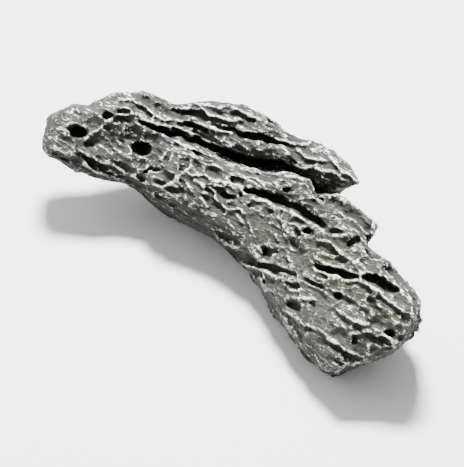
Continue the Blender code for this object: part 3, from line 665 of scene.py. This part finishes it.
class Lattice:
    """Random values tied to the cells of a cubic lattice. Each use has its own, by number."""

    def __init__(self, number):
        rng = np.random.default_rng(SEED * 100 + number)
        self.order = rng.permutation(LATTICE_VALUES)
        vectors = rng.normal(size=(LATTICE_VALUES, 3))
        self.vectors = (vectors / np.linalg.norm(vectors, axis=1)[:, None]).astype(np.float32)
        self.offsets = rng.random((LATTICE_VALUES, 3)).astype(np.float32)
        self.values = rng.random(LATTICE_VALUES).astype(np.float32)

    def index(self, cell):
        last = LATTICE_VALUES - 1
        i = self.order[cell[:, 0] & last]
        i = self.order[(i + cell[:, 1]) & last]
        return self.order[(i + cell[:, 2]) & last]

    def noise(self, points, size):
        """Gradient noise of this size, about -0.7 to 0.7."""
        points = points / np.array(size, np.float32)
        cell = np.floor(points).astype(np.int32)
        part = (points - cell).astype(np.float32)
        ease = part ** 3 * (part * (part * 6 - 15) + 10)
        total = np.zeros(len(points), np.float32)
        for corner in np.ndindex(2, 2, 2):
            step = np.array(corner, np.int32)
            gradient = self.vectors[self.index(cell + step)]
            weight = np.prod(np.where(step, ease, 1 - ease), axis=1)
            total += weight * np.einsum("ij,ij->i", gradient, part - step.astype(np.float32))
        return total

    def cells(self, points, size):
        """For each point: the distance of its cell's seed, how far above it and along from it the
        point is, the gap to the second nearest seed, and the cell's value."""
        points = points / np.array(size, np.float32)
        cell = np.floor(points).astype(np.int32)
        part = (points - cell).astype(np.float32)
        first = np.full(len(points), NO_SEED, np.float32)
        second = first.copy()
        value = np.zeros(len(points), np.float32)
        above, along = value.copy(), value.copy()
        for corner in np.ndindex(3, 3, 3):
            step = np.array(corner, np.int32) - 1
            i = self.index(cell + step)
            away = part - step.astype(np.float32) - self.offsets[i]
            distance = np.einsum("ij,ij->i", away, away)
            nearer = distance < first
            second = np.where(nearer, first, np.minimum(second, distance))
            value = np.where(nearer, self.values[i], value)
            above = np.where(nearer, away[:, 1], above)
            along = np.where(nearer, away[:, 0], along)
            first = np.where(nearer, distance, first)
        first = np.sqrt(first)
        return first, above, along, np.sqrt(second) - first, value

    def scallops(self, points, size, crest, least):
        """Hollows, deepest under their upper edge, with sharp crests between them: 0 to about 1."""
        _, above, along, gap, value = self.cells(points, size)
        level = np.clip(gap / crest, 0, 1)
        tilt = SCALLOP_TILT * along * np.sin(SCALLOP_TURN * value)
        lean = np.clip(1 + SCALLOP_LEAN * above + tilt, *SCALLOP_SHARES)
        return (least + (1 - least) * value) * level * (2 - level) * lean


def grid_axes(voxel):
    """The grid's places along each of the stone's own axes."""
    counts = [int(math.ceil((h - l) / voxel)) + 1 for l, h in zip(FIELD_LOW, FIELD_HIGH)]
    return [(l + voxel * np.arange(n)).astype(np.float32) for l, n in zip(FIELD_LOW, counts)]


def lobe_distance(bent, stations, squareness):
    """Distance to a lobe whose sections are rounded rectangles."""
    a, c, d = bent
    knots = np.arange(stations[0][0], stations[-1][0] + KNOT_STEP / 2, KNOT_STEP)
    if stations in (HEAD, MAIN, BACK):
        middles = resting_middle(stations, knots)
    else:
        middles = body_middle(knots) + curve(stations, 4, knots)
    low, high, thick = (np.interp(a, knots, curve(stations, i, knots)) for i in (1, 2, 3))
    middle = np.interp(a, knots, middles)
    half = np.maximum((high - low) / 2, LEAST_HALF)
    x = np.abs(c - (high + low) / 2) / half
    y = np.abs(d - middle) / thick
    q = np.maximum((x ** squareness + y ** squareness) ** (1 / squareness), TINY)
    slope = np.hypot((x / q) ** (squareness - 1) / half, (y / q) ** (squareness - 1) / thick)
    distance = (q - 1) / np.maximum(slope, TINY)
    ends = np.maximum(stations[0][0] - a, a - stations[-1][0])
    return np.maximum(distance, ends).astype(np.float32)


def body_field(axes):
    """The body, as a run of lobes that melt into one another."""
    place = seen_place(*np.meshgrid(*axes, indexing="ij", sparse=True))
    shape = place[0].shape
    flat = np.stack([v.ravel() for v in place], axis=1)
    bends = [Lattice(number).noise(flat, BEND_SIZE).reshape(shape) for number in (1, 2, 3)]
    bent = [v + h * b for v, h, b in zip(place, BEND_HEIGHT, bends)]
    values = np.full(shape, FAR, np.float32)
    for stations, squareness, softness in LOBES:
        values = smooth_min(values, lobe_distance(bent, stations, squareness), softness)
    return values


def refined(values, axes, fine_axes):
    """The same field on a finer grid."""
    for number, (places, fine) in enumerate(zip(axes, fine_axes)):
        at = np.clip((fine - places[0]) / (places[1] - places[0]), 0, len(places) - LAST_STEP)
        cell = at.astype(int)
        part = (at - cell).astype(np.float32)
        part = part.reshape([-1 if n == number else 1 for n in range(3)])
        near, far = np.take(values, cell, axis=number), np.take(values, cell + 1, axis=number)
        values = near * (1 - part) + far * part
    return values


def field_at(values, axes, points):
    """The field between its grid points."""
    place = (points - [places[0] for places in axes]) / (axes[0][1] - axes[0][0])
    inside = np.all((place >= 0) & (place < np.array(values.shape) - 1), axis=-1)
    place = np.where(inside[..., None], place, 0)
    cell = np.floor(place).astype(int)
    part = place - cell
    total = np.zeros(points.shape[:-1])
    for corner in np.ndindex(2, 2, 2):
        at = cell + np.array(corner)
        weight = np.prod(np.where(corner, part, 1 - part), axis=-1)
        total += weight * values[at[..., 0], at[..., 1], at[..., 2]]
    return np.where(inside, total, FAR)


def face_depth(values, axes, a, c):
    """How far out the main face is at each place on it, and far behind where there is none."""
    face = np.full(a.shape, NOWHERE)
    for d in np.arange(SEARCH_FROM, 0.0, -(axes[0][1] - axes[0][0])):
        waiting = np.nonzero(face == NOWHERE)
        here = field_at(values, axes, own_points(a[waiting], c[waiting], np.full(len(waiting[0]), d)))
        reached = here < 0
        waiting = tuple(index[reached] for index in waiting)
        face[waiting] = d - here[reached]
    return face


def outermost(face):
    """The outermost of each place on a map and its neighbours."""
    padded = np.pad(face, 1, mode="edge")
    return np.maximum.reduce([padded[i:i + face.shape[0], j:j + face.shape[1]] for i, j in RIM])


def spread_out(face):
    """The main face's map, carried on past its rim."""
    for _ in range(RIM_STEPS):
        face = outermost(face)
    for _ in range(RIM_REACH):
        face = np.where(face == NOWHERE, outermost(face), face)
    return face


def blurred(table):
    """The map, with each place the mean of its neighbours, again and again."""
    for _ in range(BLUR_ROUNDS):
        padded = np.pad(table, 1, mode="edge")
        table = (padded[:-2, 1:-1] + padded[2:, 1:-1] + padded[1:-1, :-2] + padded[1:-1, 2:]) / 4
    return table


def runs(path):
    """The straight runs of a path, each as its start and its end."""
    return zip(path, path[1:])


def from_line(a, c, start, end):
    """How far each place is from a straight line between two others, and how far down it."""
    run, rise = end[0] - start[0], end[1] - start[1]
    share = np.clip(((a - start[0]) * run + (c - start[1]) * rise) / (run * run + rise * rise), 0, 1)
    return np.hypot(a - start[0] - share * run, c - start[1] - share * rise), share


def from_oval(a, c, middle_a, middle_c, half_length, half_width, turn=0):
    """How far each place is from an oval's middle, down it and across it: squared, and 1 at its edge.
    The oval is turned by some degrees, anticlockwise as seen."""
    cos, sin = math.cos(math.radians(turn)), math.sin(math.radians(turn))
    a, c = a - middle_a, c - middle_c
    return ((cos * a + sin * c) / half_length) ** 2, ((cos * c - sin * a) / half_width) ** 2


def slot_depth(a, c, depth, path):
    """Depth of a slot that follows a path, as deep and as wide as is stated along it."""
    cut = np.zeros_like(a)
    widest = max(width for _, _, width in path)
    for start, end in runs(path):
        away, share = from_line(a, c, start, end)
        width = start[2] + (end[2] - start[2]) * share
        level = np.sqrt(np.clip(1 - (away / width) ** 2, 0, None))
        cut = np.maximum(cut, depth * level * np.sqrt(width / widest))
    return cut


def oval_depth(a, c, oval, wall):
    """Depth of an oval hollow. The smaller its wall power, the steeper its walls are."""
    depth, *place = oval
    down, across = from_oval(a, c, *place)
    return depth * np.clip(1 - down - across, 0, None) ** wall


def facet_depth(a, c, depth, step, path):
    """A flat that slopes in from its first edge to its other one."""
    along, first, other = np.array(path, float).T
    start, end = np.interp(a, along, first), np.interp(a, along, other)
    share = (c - start) / (end - start)
    inside = (a > along[0]) & (a < along[-1]) & (share > 0) & (share < 1)
    return np.where(inside, depth * (step + (1 - step) * share), 0)


def undercut_depth(a, c):
    """The drop under each crest of the main face."""
    depth = np.zeros(a.shape)
    for start, end in (run for path in CRESTS for run in runs(path)):
        away, share = from_line(a, c, start, end)
        below = (c - start[1]) * (end[0] - start[0]) < (a - start[0]) * (end[1] - start[1])
        fall = np.clip(away / UNDERCUT_DROP, 0, 1)
        rise = np.clip((UNDERCUT_REACH - away) / (UNDERCUT_REACH - UNDERCUT_DROP), 0, 1)
        beside = (share > 0) & (share < 1)
        depth = np.maximum(depth, np.where(below & beside, UNDERCUT * fall * rise, 0))
    return depth


def face_wander(a, c):
    """The same places, moved a little so that drawn edges aren't smooth."""
    points = np.stack([a.ravel(), c.ravel(), np.zeros(a.size)], axis=1)
    moves = [Lattice(number).noise(points, RELIEF_EDGE_SIZE) * RELIEF_EDGE for number in (4, 5)]
    return a + moves[0].reshape(a.shape), c + moves[1].reshape(a.shape)


def relief_map(a, c):
    """How deep the slots, pits and hollows of the main face are at each place on it."""
    a, c = face_wander(a, c)
    depth = np.zeros(a.shape)
    for hollow in HOLLOWS:
        depth = np.maximum(depth, oval_depth(a, c, hollow, HOLLOW_WALL))
    for pit in PITS + FINE_PITS:
        depth += oval_depth(a, c, pit, PIT_WALL)
    slots = np.zeros(a.shape)
    for slot_deep, path in SLOTS + FINE_SLOTS:
        slots = np.maximum(slots, slot_depth(a, c, slot_deep, path))
    for facet in FACETS:
        depth = np.maximum(depth, facet_depth(a, c, *facet))
    return np.maximum(depth, undercut_depth(a, c)) + slots


def crest_map(a, c):
    """One on the crests of the main face, fading to nothing beside them."""
    a, c = face_wander(a, c)
    near = np.zeros(a.shape)
    for start, end in (run for path in CRESTS for run in runs(path)):
        away, _ = from_line(a, c, start, end)
        near = np.maximum(near, np.exp(-((away / CREST_WIDTH) ** 2)))
    return near


def calm_map(a, c):
    """How much of the random wear is left out at each place on the main face."""
    calm = np.zeros(a.shape)
    for less, *place in CALM:
        away = np.add(*from_oval(a, c, *place))
        calm = np.maximum(calm, less * np.clip(CALM_MIDDLE - CALM_FALL * away, 0, 1))
    return calm


class FaceMaps:
    """Maps of the main face: its relief, crests, rim and wear, and how far out it and its floor are."""

    def __init__(self, values, axes):
        along = np.arange(FACE_LOW[0], FACE_HIGH[0], RELIEF_STEP)
        across = np.arange(FACE_LOW[1], FACE_HIGH[1], RELIEF_STEP)
        a, c = np.meshgrid(along, across, indexing="ij")
        self.depth = relief_map(a, c)
        self.crest = crest_map(a, c)
        face = face_depth(values, axes, a, c)
        present = blurred((face > NOWHERE).astype(float))
        # One on the outline, where the blurred map is a half
        self.rim = 4 * present * (1 - present)
        self.face = spread_out(face)
        self.floor = self.face - self.depth
        slope = np.hypot(*np.gradient(self.floor, RELIEF_STEP))
        self.steepness = 1 / np.sqrt(1 + slope ** 2)
        walls = np.clip((self.depth - WALLS[0]) / (WALLS[1] - WALLS[0]), 0, 1) * (1 - self.steepness)
        self.wear = (1 - calm_map(a, c)) * (1 - walls)
        self.deepest = blurred(self.floor)
        self.highest = blurred(self.face)

    def read(self, name, a, c):
        """One map's values at these places, also between its own."""
        table = getattr(self, name)
        i = np.clip((a - FACE_LOW[0]) / RELIEF_STEP, 0, table.shape[0] - LAST_STEP)
        j = np.clip((c - FACE_LOW[1]) / RELIEF_STEP, 0, table.shape[1] - LAST_STEP)
        cell_i, cell_j = i.astype(np.int32), j.astype(np.int32)
        part_i, part_j = i - cell_i, j - cell_j
        near = table[cell_i, cell_j] * (1 - part_j) + table[cell_i, cell_j + 1] * part_j
        far = table[cell_i + 1, cell_j] * (1 - part_j) + table[cell_i + 1, cell_j + 1] * part_j
        return (near * (1 - part_i) + far * part_i).astype(np.float32)

    def at_face(self, a, c, d):
        """One for points within the main face's thickness, and nothing past twice that."""
        behind = self.read("deepest", a, c) - d
        before = d - self.read("highest", a, c)
        return np.clip(2 - np.maximum(behind, before) / FACE_THICKNESS, 0, 1)


def carve_face(values, axes, maps):
    """Cuts the relief of the main face straight in, along the way it is looked at."""
    i, j, k = np.nonzero(values < CUT_REACH)
    a, c, d = seen_place(axes[0][i], axes[1][j], axes[2][k])
    cut = (d - maps.read("floor", a, c)) * maps.read("steepness", a, c)
    cut = np.where(maps.read("depth", a, c) > RELIEF_LEAST, cut, -FAR)
    values[i, j, k] = np.maximum(values[i, j, k], cut)


def layered(x, y, z):
    """Places along the grain, through the layers and along their edge, which fan out to the right."""
    cos, sin = math.cos(LAYER_TILT), math.sin(LAYER_TILT)
    points = np.stack([x, (cos * y + sin * z) / (1 + FAN_RATE * x), cos * z - sin * y], axis=1)
    points = points.astype(np.float32)
    wander = [WANDER * Lattice(number).noise(points, WANDER_SIZE) for number in (20, 21)]
    points[:, 1] += wander[0]
    points[:, 2] += wander[1]
    return points


def broad_wear(points):
    """Lumps, ribs along the grain and broken layers, as how far in each moves the surface."""
    broad = LUMP_HEIGHT * Lattice(22).noise(points, LUMP_SIZE)
    ribs = np.abs(Lattice(23).noise(points, RIB_SIZE))
    broad += RIB_HEIGHT * (ribs / RIB_SPREAD - RIB_MIDDLE)
    *_, block = Lattice(24).cells(points, BLOCK_SIZE)
    broad += BLOCK_HEIGHT * (block - BLOCK_MIDDLE)
    return broad


def gash_depth(points, a, d):
    """The long pits, which fade out toward the main face."""
    away = np.clip((FACE_FADE[0] + body_middle(a) - d) / FACE_FADE[1], 0, 1)
    first, *_, value = Lattice(40).cells(points, GASH_SIZE)
    gash = np.sqrt(np.clip(1 - (first / GASH_REACH) ** 2, 0, None))
    return GASH_DEPTH * gash * away * (value < GASH_SHARE)


def weather(values, axes, maps):
    """Wears every side, with scallops that have sharp crests between them, and long pits."""
    i, j, k = np.nonzero(np.abs(values) < WEATHER_REACH)
    x, y, z = axes[0][i], axes[1][j], axes[2][k]
    a, c, d = seen_place(x, y, z)
    points = layered(x, y, z)
    at_face = maps.at_face(a, c, d)
    wear, rim = maps.read("wear", a, c), maps.read("rim", a, c)
    inward = broad_wear(points) * (1 - at_face * (1 - BROAD_ON_FACE * wear))
    standing = at_face * maps.read("crest", a, c)
    for number, (size, depth, crest, least, on_face) in enumerate(SCALLOPS, 30):
        worn = depth * (Lattice(number).scallops(points, size, crest, least) - SCALLOP_MIDDLE)
        worn *= 1 - at_face * (1 - on_face * wear)
        inward += worn * (1 - standing) * (1 - RIM_CALM * rim)
    inward -= CREST_LIFT * standing
    furthest = FURTHEST_OUT[0] + (FURTHEST_OUT[1] - FURTHEST_OUT[0]) * at_face
    inward = OUTER_ROUNDING * np.logaddexp(inward / OUTER_ROUNDING, -furthest / OUTER_ROUNDING)
    inward += gash_depth(points, a, d)
    values[i, j, k] += np.minimum(inward, DEEPEST_WEAR)


def softened(values):
    """The field without edges finer than its grid. Each round softens it along the first axis, and
    moves that axis to the end."""
    for _ in range(3):
        padded = np.pad(values, [(1, 1), (0, 0), (0, 0)], mode="edge")
        values = values / 2 + (padded[2:] + padded[:-2]) / 4
        values = np.ascontiguousarray(np.moveaxis(values, 0, -1))
    return values


def largest_body(points, quads):
    """Leaves out the crumbs and bubbles that weathering makes."""
    label = np.arange(len(points))
    one, other = np.concatenate([quads[:, [n, (n + 1) % 4]] for n in range(4)]).T
    while np.any(label[one] != label[other]):
        lowest = np.minimum(label[one], label[other])
        np.minimum.at(label, label[one], lowest)
        np.minimum.at(label, label[other], lowest)
        label = label[label]
    body = np.argmax(np.bincount(label))
    kept = label == body
    number = np.cumsum(kept) - 1
    return points[kept], number[quads[kept[quads[:, 0]]]]


def make_mesh(name, points, faces):
    mesh = bpy.data.meshes.new(name)
    mesh.from_pydata(points, [], faces)
    mesh.update()
    return mesh


def read_vectors(mesh, name):
    """The place ("co") or the normal of each of the mesh's points."""
    vectors = np.empty(len(mesh.vertices) * 3)
    mesh.vertices.foreach_get(name, vectors)
    return vectors.reshape(-1, 3)


def move_points(mesh, points):
    mesh.vertices.foreach_set("co", points.ravel())
    mesh.update()


def keep_above_floor(mesh, points):
    """Moves the mesh's points to these places, but none below the plane that it rests on."""
    points[:, 2] = np.maximum(points[:, 2], 0)
    move_points(mesh, points)


class Smoothing:
    """Moves values at a mesh's points toward their neighbours' mean."""

    def __init__(self, mesh):
        edges = np.empty(len(mesh.edges) * 2, np.int32)
        mesh.edges.foreach_get("vertices", edges)
        one, other = edges.reshape(-1, 2).T
        self.ends = np.concatenate([one, other])
        self.starts = np.concatenate([other, one])
        self.total = len(mesh.vertices)
        self.count = np.bincount(self.ends, minlength=self.total)

    def apply(self, values, rounds):
        for _ in range(rounds):
            sums = [np.bincount(self.ends, column[self.starts], self.total) for column in values.T]
            values = np.stack(sums, axis=1) / self.count[:, None]
        return values

    def height(self, points, normals, rounds):
        """How far points stand over the surface smoothed by so many rounds, in mm."""
        away = points - self.apply(points, rounds)
        return np.einsum("ij,ij->i", away, normals) / MM


def press_grain(mesh):
    """Wears tips, sharpens the rest, and presses fine cells, ribs and roughness into the surface."""
    points = read_vectors(mesh, "co")
    smoothing = Smoothing(mesh)
    normals = smoothing.apply(read_vectors(mesh, "normal"), SHARPENING_ROUNDS)
    normals /= np.linalg.norm(normals, axis=1)[:, None]
    for rounds, highest in TIPS:
        tip = smoothing.height(points, normals, rounds) - highest
        points -= normals * (np.clip(tip, 0, None) * MM)[:, None]
    height = smoothing.height(points, normals, SHARPENING_ROUNDS)
    layers = layered(*(points / MM).T)
    cells = Lattice(50).scallops(layers, GRAIN_CELLS, GRAIN_CREST, GRAIN_LEAST)
    inward = GRAIN_CELL_DEPTH * cells
    ribs = np.abs(Lattice(51).noise(layers, GRAIN_RIBS))
    inward += GRAIN_RIB_DEPTH * ribs / GRAIN_RIB_SPREAD
    inward += GRAIN_NOISE_DEPTH * Lattice(52).noise(layers, GRAIN_NOISE)
    inward -= SHARPENING * np.clip(height, -SHARPENING_LIMIT, SHARPENING_LIMIT)
    keep_above_floor(mesh, points - normals * (inward * MM)[:, None])


def simplified(mesh):
    """The same surface with fewer triangles, most of them on the side that is looked at."""
    triangles = 2 * len(mesh.polygons)
    seen = read_vectors(mesh, "normal") @ AXES[2] > SEEN_FROM
    with_others = triangles * np.mean(seen) + OTHER_TRIANGLES
    helper = bpy.data.objects.new("helper", mesh)
    bpy.context.collection.objects.link(helper)
    stages = [
        ("others", ~seen, with_others / triangles),
        ("seen", seen, TRIANGLES / with_others),
    ]
    for name, chosen, ratio in stages:
        group = helper.vertex_groups.new(name=name)
        group.add(np.nonzero(chosen)[0].tolist(), 1.0, "REPLACE")
        decimate = helper.modifiers.new(name, "DECIMATE")
        decimate.vertex_group = name
        decimate.ratio = min(ratio, 1)
    evaluated = helper.evaluated_get(bpy.context.evaluated_depsgraph_get())
    result = bpy.data.meshes.new_from_object(evaluated)
    bpy.data.objects.remove(helper)
    bpy.data.meshes.remove(mesh)
    return result


def add_value(mesh, name, values):
    layer = mesh.attributes.new(name, "FLOAT", "POINT")
    layer.data.foreach_set("value", values.astype(np.float32))


def add_heights(mesh):
    """How far each point stands above the surface smoothed a little, more, and most, in mm."""
    points, normals = read_vectors(mesh, "co"), read_vectors(mesh, "normal")
    smoothing = Smoothing(mesh)
    for name, rounds in HEIGHT_ROUNDS.items():
        add_value(mesh, name, smoothing.height(points, normals, rounds))


def add_rise(mesh):
    """How far the surface, a little smoothed, faces up at each point: -1 to 1. The material paints
    undersides darker and tops paler with it, as painted shade.
    """
    normals = Smoothing(mesh).apply(read_vectors(mesh, "normal"), RISE_ROUNDS)
    add_value(mesh, "facing_up", normals[:, 2] / np.linalg.norm(normals, axis=1))


def add_openness(mesh, values, axes):
    """How clear the space is before each point, at each of these distances: 0 to 1. The material
    paints shade where it is low.
    """
    points = read_vectors(mesh, "co") / MM
    normals = read_vectors(mesh, "normal")
    for name, distance in OPENNESS.items():
        clear = field_at(values, axes, points + normals * distance) / distance
        add_value(mesh, name, np.clip(clear, 0, 1))


def add_face_values(mesh, maps):
    """Marks the main face's standing crests, and its patches of colour. The crests are painted pale,
    partly as wear and partly as a painted highlight, and the patches are yellow-green tint, or partly
    wear and partly painted light and painted shade.
    """
    a, c, d = seen_place(*(read_vectors(mesh, "co") / MM).T)
    shown = maps.at_face(a, c, d)
    add_value(mesh, "standing", shown * maps.read("crest", a, c))
    a, c = face_wander(a, c)
    for name, patches in PATCHES.items():
        patched = np.zeros(len(a))
        for *place, strength in patches:
            patched += strength * np.exp(-np.add(*from_oval(a, c, *place)))
        add_value(mesh, name, shown * patched)


def worn_field(body, coarse, axes, maps):
    """The body with its relief and its wear, cut off at the plane that it rests on."""
    values = refined(body, coarse, axes)
    carve_face(values, axes, maps)
    weather(values, axes, maps)
    values = np.maximum(softened(values), -axes[2][None, None, :])
    return np.clip(values, -WEATHER_REACH, WEATHER_REACH)


def surface_of(values):
    """A mesh where the field is zero, in metres."""
    grid = openvdb.FloatGrid(WEATHER_REACH)
    grid.copyFromArray(values)
    points, quads = grid.convertToQuads()
    points = points * FINE_VOXEL + np.array(FIELD_LOW)
    return make_mesh(NODE, *largest_body(points * MM, quads))


def stone_mesh():
    """The stone's mesh with all its values, still in the field's own place."""
    coarse, axes = grid_axes(COARSE_VOXEL), grid_axes(FINE_VOXEL)
    body = body_field(coarse)
    maps = FaceMaps(body, coarse)
    values = worn_field(body, coarse, axes, maps)
    mesh = surface_of(values)
    press_grain(mesh)
    mesh = simplified(mesh)
    keep_above_floor(mesh, read_vectors(mesh, "co"))
    add_heights(mesh)
    add_rise(mesh)
    add_openness(mesh, values, axes)
    add_face_values(mesh, maps)
    mesh.polygons.foreach_set("use_smooth", [True] * len(mesh.polygons))
    return mesh


class Nodes:
    """Short ways to add and join a material's nodes."""

    def __init__(self, material):
        material.use_nodes = True
        self.tree = material.node_tree
        self.shader = self.tree.nodes["Principled BSDF"]

    def add(self, kind, inputs=(), **settings):
        node = self.tree.nodes.new(kind)
        for name, value in settings.items():
            setattr(node, name, value)
        for name, value in dict(inputs).items():
            self.put(node.inputs[name], value)
        return node

    def put(self, socket, value):
        if isinstance(value, bpy.types.NodeSocket):
            self.tree.links.new(value, socket)
        else:
            socket.default_value = value

    def value(self, name):
        return self.add("ShaderNodeAttribute", attribute_name=name).outputs["Fac"]

    def maths(self, operation, *values):
        node = self.add("ShaderNodeMath", dict(enumerate(values)), operation=operation)
        return node.outputs[0]

    def spread(self, value, low, high, start=0.0, end=1.0):
        """The value, moved from one span to another."""
        inputs = dict(enumerate((value, low, high, start, end)))
        return self.add("ShaderNodeMapRange", inputs).outputs[0]

    def grain_place(self, size):
        """The object's own place, turned and scaled so that one unit is this many millimetres along
        the grain, through the layers and along their edge."""
        place = self.add("ShaderNodeTexCoord").outputs["Object"]
        turn = self.add("ShaderNodeVectorRotate", {"Vector": place, "Rotation": (-LAYER_TILT, 0, 0)},
                        rotation_type="EULER_XYZ")
        units = tuple(1 / (MM * s) for s in size)
        scaling = self.add("ShaderNodeVectorMath", {0: turn.outputs[0], 1: units}, operation="MULTIPLY")
        return scaling.outputs[0]

    def noise(self, size, detail):
        inputs = {"Vector": self.grain_place(size), "Scale": 1.0, "Detail": detail,
                  "Roughness": NOISE_ROUGHNESS}
        return self.add("ShaderNodeTexNoise", inputs)

    def edges(self):
        """How far each point is from the edge of its fine scallop, in scallop sizes."""
        colour = self.noise(*EDGE_WANDER_NOISE).outputs["Color"]
        shift = self.add("ShaderNodeVectorMath", {"Vector": colour, "Scale": EDGE_WANDER},
                         operation="SCALE")
        place = self.add("ShaderNodeVectorMath", {0: self.grain_place(EDGE_SIZE), 1: shift.outputs[0]},
                         operation="ADD")
        cells = self.add("ShaderNodeTexVoronoi", {"Vector": place.outputs[0], "Scale": 1.0},
                         feature="DISTANCE_TO_EDGE")
        return cells.outputs["Distance"]

    def ramp(self, value, stops):
        node = self.add("ShaderNodeValToRGB", {"Fac": value})
        elements = node.color_ramp.elements
        while len(elements) < len(stops):
            elements.new(0.5)
        for element, (place, colour) in zip(elements, stops):
            element.position = place
            element.color = (*colour, 1)
        return node.outputs["Color"]

    def grey(self, value):
        """A grey as light as the value."""
        return self.add("ShaderNodeCombineColor", {channel: value for channel in range(3)}).outputs[0]

    def times(self, share, first, second):
        """One colour multiplied by another, as far as the share says."""
        inputs = dict(zip(MIX_INPUTS, (share, first, second)))
        node = self.add("ShaderNodeMix", inputs, data_type="RGBA", blend_type="MULTIPLY")
        return node.outputs[MIX_OUTPUT]

    def bump(self, height, depth, **inputs):
        """A normal bent by a height, which is this deep in millimetres."""
        inputs = {"Height": height, "Strength": 1.0, "Distance": depth * MM, **inputs}
        return self.add("ShaderNodeBump", inputs).outputs["Normal"]


def paleness(nodes, edges):
    """How pale the stone is: about -1 in its deepest slots, and 1 on its highest crests. The dark
    slots and hollows are painted shade, and the pale crests and edge lines are partly wear and partly
    a painted highlight.
    """
    pale = 0.0
    for name, reach, share in PALE_PARTS:
        part = nodes.spread(nodes.value(name), -reach, reach, -share, share)
        pale = nodes.maths("ADD", pale, part)
    for size, detail, share in PALE_NOISE:
        part = nodes.spread(nodes.noise(size, detail).outputs["Fac"], *NOISE_SPAN, -share, share)
        pale = nodes.maths("ADD", pale, part)
    # pale lines on the fine scallops' crests: partly wear, partly a painted highlight
    patches = nodes.noise(*EDGE_PATCHES).outputs["Fac"]
    strength = nodes.spread(patches, *EDGE_PATCH_SPAN, *EDGE_PALE)
    line = nodes.spread(edges, 0.0, EDGE_LINE, 1.0, 0.0)
    return nodes.maths("ADD", pale, nodes.maths("MULTIPLY", line, strength))


def stone_colour(nodes, pale):
    """The colour for a paleness, tinted in patches, and shaded."""
    colour = nodes.ramp(nodes.spread(pale, -1.0, 1.0), STONE_COLOURS)
    tint = nodes.maths("MULTIPLY", nodes.value("tint"), TINT_SHARE)
    colour = nodes.times(tint, colour, TINT_COLOUR)
    for name, *span in SHADES:
        shade = nodes.spread(nodes.value(name), *span)
        colour = nodes.times(1.0, colour, nodes.grey(shade))
    return colour


def stone_material():
    """Grey limestone: white on its crests, partly as wear and partly as a painted highlight, darker
    down its hollows and nearly black in its slots, as painted shade.
    """
    material = bpy.data.materials.new("grey limestone")
    nodes = Nodes(material)
    edges = nodes.edges()
    nodes.put(nodes.shader.inputs["Base Color"], stone_colour(nodes, paleness(nodes, edges)))
    nodes.shader.inputs["Roughness"].default_value = ROUGHNESS
    nodes.shader.inputs["Specular IOR Level"].default_value = GLOSS
    normal = nodes.bump(nodes.spread(edges, 0.0, EDGE_SLOPE), -EDGE_DEPTH)
    normal = nodes.bump(nodes.noise(*BUMP_NOISE).outputs["Fac"], BUMP_HEIGHT, Normal=normal)
    nodes.put(nodes.shader.inputs["Normal"], normal)
    return material


def plain_material(name, colour, roughness):
    material = bpy.data.materials.new(name)
    nodes = Nodes(material)
    nodes.shader.inputs["Base Color"].default_value = colour
    nodes.shader.inputs["Roughness"].default_value = roughness
    return material


def seen_from(middle, place):
    """A place so far right of, above and before the middle, as the camera looks at it."""
    right, up, before = place
    return middle + Vector(right * PICTURE_RIGHT + up * PICTURE_UP + before * AXES[2])


def add_object(name, data, location=(0, 0, 0), facing=None):
    thing = bpy.data.objects.new(name, data)
    bpy.context.collection.objects.link(thing)
    thing.location = location
    if facing is not None:
        thing.rotation_mode = "QUATERNION"
        thing.rotation_quaternion = (thing.location - facing).to_track_quat("Z", "Y")
    return thing


def add_light(name, middle, place, size, power):
    light = bpy.data.lights.new(name, "AREA")
    light.size = size
    light.energy = power
    return add_object(name, light, seen_from(middle, place), middle)


def add_camera(middle):
    camera = bpy.data.cameras.new("camera")
    camera.lens = camera.sensor_width * VIEW_DISTANCE / VIEW_WIDTH
    camera.clip_start, camera.clip_end = CAMERA_SPAN
    place = seen_from(middle, (0, 0, VIEW_DISTANCE * MM))
    bpy.context.scene.camera = add_object("camera", camera, place, middle)


def add_floor():
    corners = FLOOR_REACH * np.array([(-1, -1, 0), (1, -1, 0), (1, 1, 0), (-1, 1, 0)])
    mesh = make_mesh("floor", corners, [(0, 1, 2, 3)])
    mesh.materials.append(plain_material("white floor", FLOOR_COLOUR, FLOOR_ROUGHNESS))
    return add_object("floor", mesh)


def add_sky():
    world = bpy.data.worlds.new("white studio")
    world.use_nodes = True
    background = world.node_tree.nodes["Background"]
    background.inputs["Color"].default_value = (1, 1, 1, 1)
    background.inputs["Strength"].default_value = SKY_STRENGTH
    bpy.context.scene.world = world


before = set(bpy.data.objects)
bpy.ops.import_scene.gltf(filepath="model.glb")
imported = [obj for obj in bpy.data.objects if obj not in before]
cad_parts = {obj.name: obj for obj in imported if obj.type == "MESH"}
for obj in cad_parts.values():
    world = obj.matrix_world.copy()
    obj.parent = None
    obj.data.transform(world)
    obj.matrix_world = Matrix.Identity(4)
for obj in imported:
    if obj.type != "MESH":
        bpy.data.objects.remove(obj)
solid_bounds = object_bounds()
mesh = stone_mesh()
points = read_vectors(mesh, "co")
shift = np.mean(solid_bounds, axis=0) - (points.min(axis=0) + points.max(axis=0)) / 2
shift[2] = 0
move_points(mesh, points + shift)
mesh.materials.append(stone_material())
stone = add_object("stone", mesh)
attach(stone, BODY)
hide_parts(NODE)

floor = add_floor()
add_sky()
middle = Vector(np.array(VIEW_CENTRE) @ AXES * MM + shift)
for name, place, size, power in LIGHTS:
    add_light(name, middle, place, size, power)
add_camera(middle)
